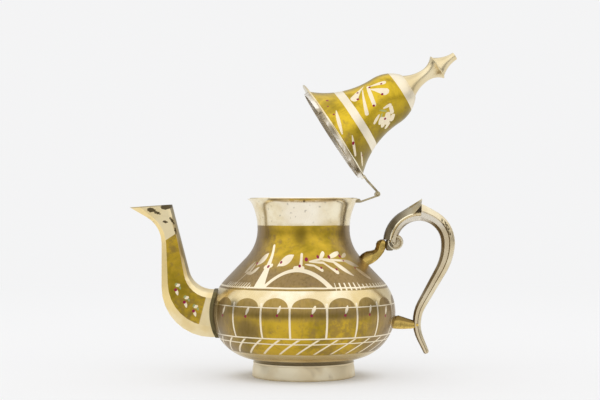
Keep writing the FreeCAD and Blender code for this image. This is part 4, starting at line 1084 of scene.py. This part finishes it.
spoutShape = {
    "face": -94.4, "bendRound": 33.2, "bendUp": 59.5,
    "riserTop": 88.6, "beakRound": 20.0, "beakTurn": 60.0, "beakRun": 12.9,
    "throatRound": 16.0, "throatUp": 73.7, "riserDepth": 17.6, "mouthLength": 27.8, "mouthRise": 1.9,
    "riserShare": 0.4, "baseWidth": 24.0, "neckWidth": 13.0, "mouthWidth": 13.5, "wall": 1.3, "rootX": -50.0,
    "collar": 1.9, "collarEnd": -68.0, "collarProud": 0.5, "collarSunk": 0.05, "collarLap": 0.2,
    "section": ((0.5, 0.2), (0.25, 0.5), (-0.34, 0.5), (-0.44, 0.4), (-0.5, 0.18)),
    "tinnedMouth": 110.0,  # faces that look up above this height are inside the mouth
    # tarnish by the mouth: across and up at both ends, half widths
    "tarnish": ((-102.6, 110.9, -98.9, 110.3, 1.0, 1.5, 0.9), (-98.0, 109.2, -94.8, 108.2, 0.8, 1.0, 0.5),
                (-92.4, 103.0, -90.2, 102.6, 0.7, 0.8, 0.4), (-88.4, 105.6, -86.0, 101.6, 0.4, 0.7, 0.4),
                (-85.4, 98.6, -84.4, 94.6, 0.3, 0.6, 0.3), (-93.0, 112.6, -88.6, 113.2, 1.5, 1.9, 1.4)),
    "mouthLine": (-115.6, 0.068), "mouthUp": (111.5, 112.0), "mouthBack": (88.5, 90.0),
    "backUp": (58.0, 75.0), "goldUp": (38.0, 52.0), "oldPlate": colour(0.95, 0.74, 0.33),
    # lacquer panel: a place on its upper edge and on its edge by the collar, and their slant
    "panelTop": (-91.1, 90.7, 0.67), "panelBase": (-69.3, 34.0, 0.26),
    # flowers by their dots, then their petals and leaves from there
    "flowers": ((-84.6, 57.9), (-78.7, 49.8), (-72.6, 44.0)), "flowerDot": 1.05,
    "petals": ((0.8, 2.6, 2.2, 3.2, 0.7, 1.1, 0.8), (0.6, -0.6, 1.4, -3.2, 0.8, 0.9, 0.4)),
    "leaves": ((2.6, 2.0, 3.2, 0.6, 0.5, 0.7, 0.3), (-0.2, 3.0, 0.8, 4.2, 0.4, 0.7, 0.4)),
}


def spoutStations():
    form = spoutShape
    front = form["face"]
    bend = (front + form["bendRound"], form["bendUp"])
    beak = (front - form["beakRound"], form["riserTop"])
    throat = (front + form["riserDepth"] + form["throatRound"], form["throatUp"])
    bendEnd = onArc(beak, form["beakRound"], form["beakTurn"])
    tip = onArc(bendEnd, form["beakRun"], form["beakTurn"] + 90)
    corner = (tip[0] + form["mouthLength"], tip[1] + form["mouthRise"])
    toCorner = Vector((corner[0] - throat[0], corner[1] - throat[1]))
    leave = math.atan2(toCorner.y, toCorner.x) + math.acos(form["throatRound"] / toCorner.length)
    throatEnd = onArc(throat, form["throatRound"], math.degrees(leave))
    outerEdge = arc(bend, form["bendRound"], 270, 180, 8)
    innerEdge = arc(throat, form["throatRound"], 270, math.degrees(leave), 8)
    for step in range(1, 4):
        share = step / 3
        outerEdge.append((front, between(bend[1], beak[1], share)))
        innerEdge.append(midway(throatEnd, corner, share * form["riserShare"]))
    beakEdge = arc(beak, form["beakRound"], 0, form["beakTurn"], 5)[1:]
    beakEdge += [midway(bendEnd, tip, share) for share in (0.33, 0.67, 1.0)]
    for step, spot in enumerate(beakEdge, start=1):
        outerEdge.append(spot)
        innerEdge.append(midway(throatEnd, corner, between(form["riserShare"], 1, step / len(beakEdge))))
    outerEdge.insert(0, (form["rootX"], outerEdge[0][1]))
    innerEdge.insert(0, (form["rootX"], innerEdge[0][1]))
    neckStep = 12
    line = []
    for step, (far, near) in enumerate(zip(outerEdge, innerEdge)):
        if step < neckStep:
            width = between(form["baseWidth"], form["neckWidth"], step / (neckStep - 1))
        else:
            width = between(form["neckWidth"], form["mouthWidth"], (step - neckStep + 1) / 8)
        line.append(acrossBar(far, near, width))
    return line


def bellyForm(grown):  # a solid that follows the belly, grown outwards
    line = arc(potShape["bellyCentre"], potShape["belly"] + grown, -90, 60, 40)
    gap = potShape["axisGap"]
    return turnOnAxis([(gap, line[0][1])] + line + [(gap, line[-1][1])], roundSides["pot"])


def cutWith(piece, cutter, way):
    deselect()
    bpy.context.view_layer.objects.active = piece
    piece.select_set(True)
    bpy.ops.object.modifier_add(type="BOOLEAN")
    piece.modifiers[-1].operation = way
    piece.modifiers[-1].solver = "EXACT"
    piece.modifiers[-1].object = cutter
    bpy.ops.object.modifier_apply(modifier=piece.modifiers[-1].name)
    bpy.data.objects.remove(cutter)
    bpy.ops.object.shade_smooth_by_angle(angle=math.radians(barSharp))


stations = spoutStations()
wall = spoutShape["wall"]
inwards = [(*spot, depth - 2 * wall, width - 2 * wall) for *spot, depth, width in stations[:-7:-1]]
spout = drawBar(stations + inwards, bothSides(spoutShape["section"]))
# its foot is cut to the belly, a collar's depth away
cutWith(spout, bellyForm(spoutShape["collar"]), "DIFFERENCE")

# collar of solder round the foot
proud = 2 * spoutShape["collarProud"]
_, collarUp, collarTurn, collarDepth, collarWidth = stations[0]
collarEnds = []
for across in (spoutShape["rootX"], spoutShape["collarEnd"]):
    collarEnds.append((across, collarUp, collarTurn, collarDepth + proud, collarWidth + proud))
collar = drawBar(collarEnds, bothSides(spoutShape["section"]))
cutWith(collar, bellyForm(-spoutShape["collarSunk"]), "DIFFERENCE")
cutWith(collar, bellyForm(spoutShape["collar"] + spoutShape["collarLap"]), "INTERSECT")
paint(collar, solder)
settle("spoutCollar", "pot", ("spout_collar",))
print("spout drawn")


def shifted(rows, across, up):
    return [(across + row[0], up + row[1], across + row[2], up + row[3], *row[4:]) for row in rows]


def spoutMaterial():
    form = spoutShape
    material, shader, place = newMaterial("spoutPanel")
    x, _, z = axes(place)
    topX, topZ, topSlant = form["panelTop"]
    baseX, baseZ, baseSlant = form["panelBase"]
    top = (x - topX) * topSlant + topZ - z
    base = (z - baseZ) * baseSlant + baseX - x
    backward, sideways, _ = facing(place)
    panel = edge(top, 0.5) * edge(base, 0.5) * rise(abs(sideways), 0.90, 0.94)
    side = flat(x, z)
    dots = []
    cuts = []
    greens = []
    for across, up in form["flowers"]:
        dots.append(dot(side, (across, up), form["flowerDot"]))
        cuts += strokes(side, shifted(form["petals"], across, up))
        greens += strokes(side, shifted(form["leaves"], across, up))
    worn = (noise(place, 900.0, 3.0, 0.6) - 0.5) * 2.6
    tarnish = strokes(flat(x + worn, z + worn * 0.6), form["tarnish"])
    mouthX, mouthSlant = form["mouthLine"]
    mouthEdge = rise(z - (x - mouthX) * mouthSlant, *form["mouthUp"]) * rise(-x, *form["mouthBack"]) * 0.45
    # faces turned towards the pot are darkened as painted shade
    potSideShade = rise(backward, 0.62, 0.9) * rise(z, *form["backUp"]) * 0.6
    # tarnish by the mouth together with painted shade on the pot side
    tarnishAndShade = most(most(*tarnish) * 0.95, mouthEdge, potSideShade)
    golden = rise(-backward, 0.25, 0.6) * rise(z, *form["goldUp"]) * 0.5 + 0.45
    cutFinish(shader, place, 1 - panel, most(*cuts), most(*dots), most(*greens) * 0.85, spots=tarnishAndShade,
              cast=0.2, plateShade=form["oldPlate"], plateShare=golden)
    return material


paint(spout, spoutMaterial(), insideTin)
for face in spout.data.polygons:
    nearest = nearestStation(face, stations)
    away = Vector((face.center.x - nearest[0] * mm, face.center.y, face.center.z - nearest[1] * mm))
    insideWall = face.normal.dot(away) < -1e-5
    insideMouth = face.normal.z > 0.9 and face.center.z / mm > spoutShape["tinnedMouth"]
    face.material_index = 1 if insideWall or insideMouth else 0
bpy.context.view_layer.objects.active = spout
settle("spoutBody", "pot", ("spout_near_half", "spout_far_half"))

# Brass brackets between pot and handle: upper and lower edge of each station, then its width
bracketShape = {
    "upper": (
        ((36.0, 78.2), (41.2, 72.2), 10.0), ((38.8, 81.4), (43.6, 74.0), 9.4),
        ((41.9, 83.1), (46.2, 75.3), 9.0), ((45.4, 83.7), (49.0, 77.3), 8.4),
        ((47.3, 84.4), (51.4, 79.8), 7.8), ((48.1, 86.2), (53.3, 82.4), 7.6),
        ((48.3, 88.3), (54.5, 85.0), 7.6), ((49.2, 89.9), (54.9, 87.4), 7.4),
        ((51.0, 90.9), (54.8, 89.5), 6.8), ((52.5, 91.2), (54.2, 90.5), 5.6),
    ),
    "lower": (
        ((58.4, 39.2), (58.4, 31.9), 7.2), ((61.4, 40.0), (61.4, 31.5), 7.2),
        ((63.2, 40.4), (63.2, 31.4), 7.0), ((66.9, 39.2), (66.9, 31.4), 6.6),
        ((71.4, 37.7), (71.4, 31.6), 5.8), ((73.8, 37.0), (73.8, 32.0), 5.2),
    ),
    "section": ((0.5, 0.2), (0.38, 0.36), (0.14, 0.5), (-0.34, 0.5), (-0.46, 0.4), (-0.5, 0.24)),
}
for side in ("upper", "lower"):
    drawBar([acrossBar(*station) for station in bracketShape[side]], bothSides(bracketShape["section"]))
    paint(settle(side + "Bracket", "pot", (side + "_bracket",)), bareBrass)
print("brackets drawn")

# CAD pieces that keep their own shape
for name in ("lid_hinge_strap", "pot_hinge_strap", "hinge_pin"):
    paint(nodes[name], strapBrass)
for name in ("upper_handle_pin", "lower_handle_rivet", "finial_stud", "finial_washer", "finial_nut"):
    paint(nodes[name], bareBrass)
print("CAD pieces painted")

# Table, studio and camera
table = {
    "half": 4.0, "colour": colour(0.94, 0.94, 0.945), "rough": 0.7, "gloss": 0.2,
    "glow": 0.5, "near": (30.0, 62.0), "far": (250.0, 1200.0),  # glows more from the pot outwards
}
# light by direction: how strong it is, and the heights and turns between which it is so
studio = {
    "backdrop": colour(0.905, 0.905, 0.91),
    "soft": 1.2,
    "top": 0.95, "topUp": (55.0, 80.0),
    "back": 0.7, "backUp": (35.0, 60.0), "backTurn": (105.0, 130.0),
    "room": 0.28, "roomUp": (-8.0, 14.0, 4.0), "roomTurn": (96.0, 116.0),
    "post": 0.05, "postUp": (14.0, 28.0), "postTurn": (94.0, 110.0, 3.0),
}
deselect()
bpy.ops.mesh.primitive_plane_add(size=2 * table["half"])
floor = bpy.context.active_object
floor.name = "tableTop"
tableMaterial, tableShader, tablePlace = newMaterial("paleTable")
plug(tableShader, Base_Color=table["colour"], Roughness=table["rough"], Specular_IOR_Level=table["gloss"])
# far off the table fades into the backdrop
tableTree = tablePlace.tree
tableGlow = tablePlace.make("ShaderNodeEmission", None, {"Color": studio["backdrop"]})
outFromPot = tablePlace.vector("LENGTH", (0, 0, 0), "Value") * 1000
nearGlow = rise(outFromPot, *table["near"]) * table["glow"]
tableFade = rise(outFromPot, *table["far"]) * (1 - table["glow"]) + nearGlow
tableLit = Wire(tableTree, tableShader.outputs[0])
surface = tablePlace.make("ShaderNodeMixShader", None, {0: tableFade, 1: tableLit, 2: tableGlow})
tableTree.links.new(surface.socket, tableTree.nodes["Material Output"].inputs["Surface"])
paint(floor, tableMaterial)

world = bpy.data.worlds.new("studio")
bpy.context.scene.world = world
world.use_nodes = True
way = Wire(world.node_tree).make("ShaderNodeTexCoord", None, None, "Generated")
wayX, wayY, wayZ = parts(way)
height = wayZ.math("ARCSINE") * math.degrees(1)
around = abs(wayX.math("ARCTAN2", -wayY) * math.degrees(1))
room = band(height, *studio["roomUp"]) * (1 - rise(around, *studio["roomTurn"]))
post = band(around, *studio["postTurn"]) * (1 - rise(height, *studio["postUp"]))
behind = rise(around, *studio["backTurn"]) * (1 - rise(height, *studio["backUp"]))
overhead = rise(height, *studio["topUp"])
lightLevel = studio["soft"] - most(overhead * (studio["soft"] - studio["top"]),
                                   behind * (studio["soft"] - studio["back"]))
lightLevel = lightLevel * (1 - most(room * (1 - studio["room"]), post * (1 - studio["post"])))
lightGrey = way.make("ShaderNodeCombineColor", None, {0: lightLevel, 1: lightLevel, 2: lightLevel})
seen = way.make("ShaderNodeLightPath", None, None, "Is Camera Ray")
shade = blend(lightGrey, studio["backdrop"], seen)
world.node_tree.links.new(shade.socket, world.node_tree.nodes["Background"].inputs["Color"])

eye = {
    "away": 0.930, "height": 0.1093, "lens": 83.7, "film": 36.0, "near": 0.01,
    "shift": (-3.6, 12.0), "picture": 600,  # picture elements
}
camera = bpy.data.objects.new("camera", bpy.data.cameras.new("camera"))
bpy.context.scene.collection.objects.link(camera)
camera.location = (0, -eye["away"], eye["height"])
camera.rotation_euler = (math.pi / 2, 0, 0)
camera.data.lens = eye["lens"]
camera.data.sensor_width = eye["film"]
camera.data.shift_x = eye["shift"][0] / eye["picture"]
camera.data.shift_y = eye["shift"][1] / eye["picture"]
camera.data.clip_start = eye["near"]
bpy.context.scene.camera = camera
bpy.context.scene.view_settings.view_transform = "Standard"

print("scene ready")
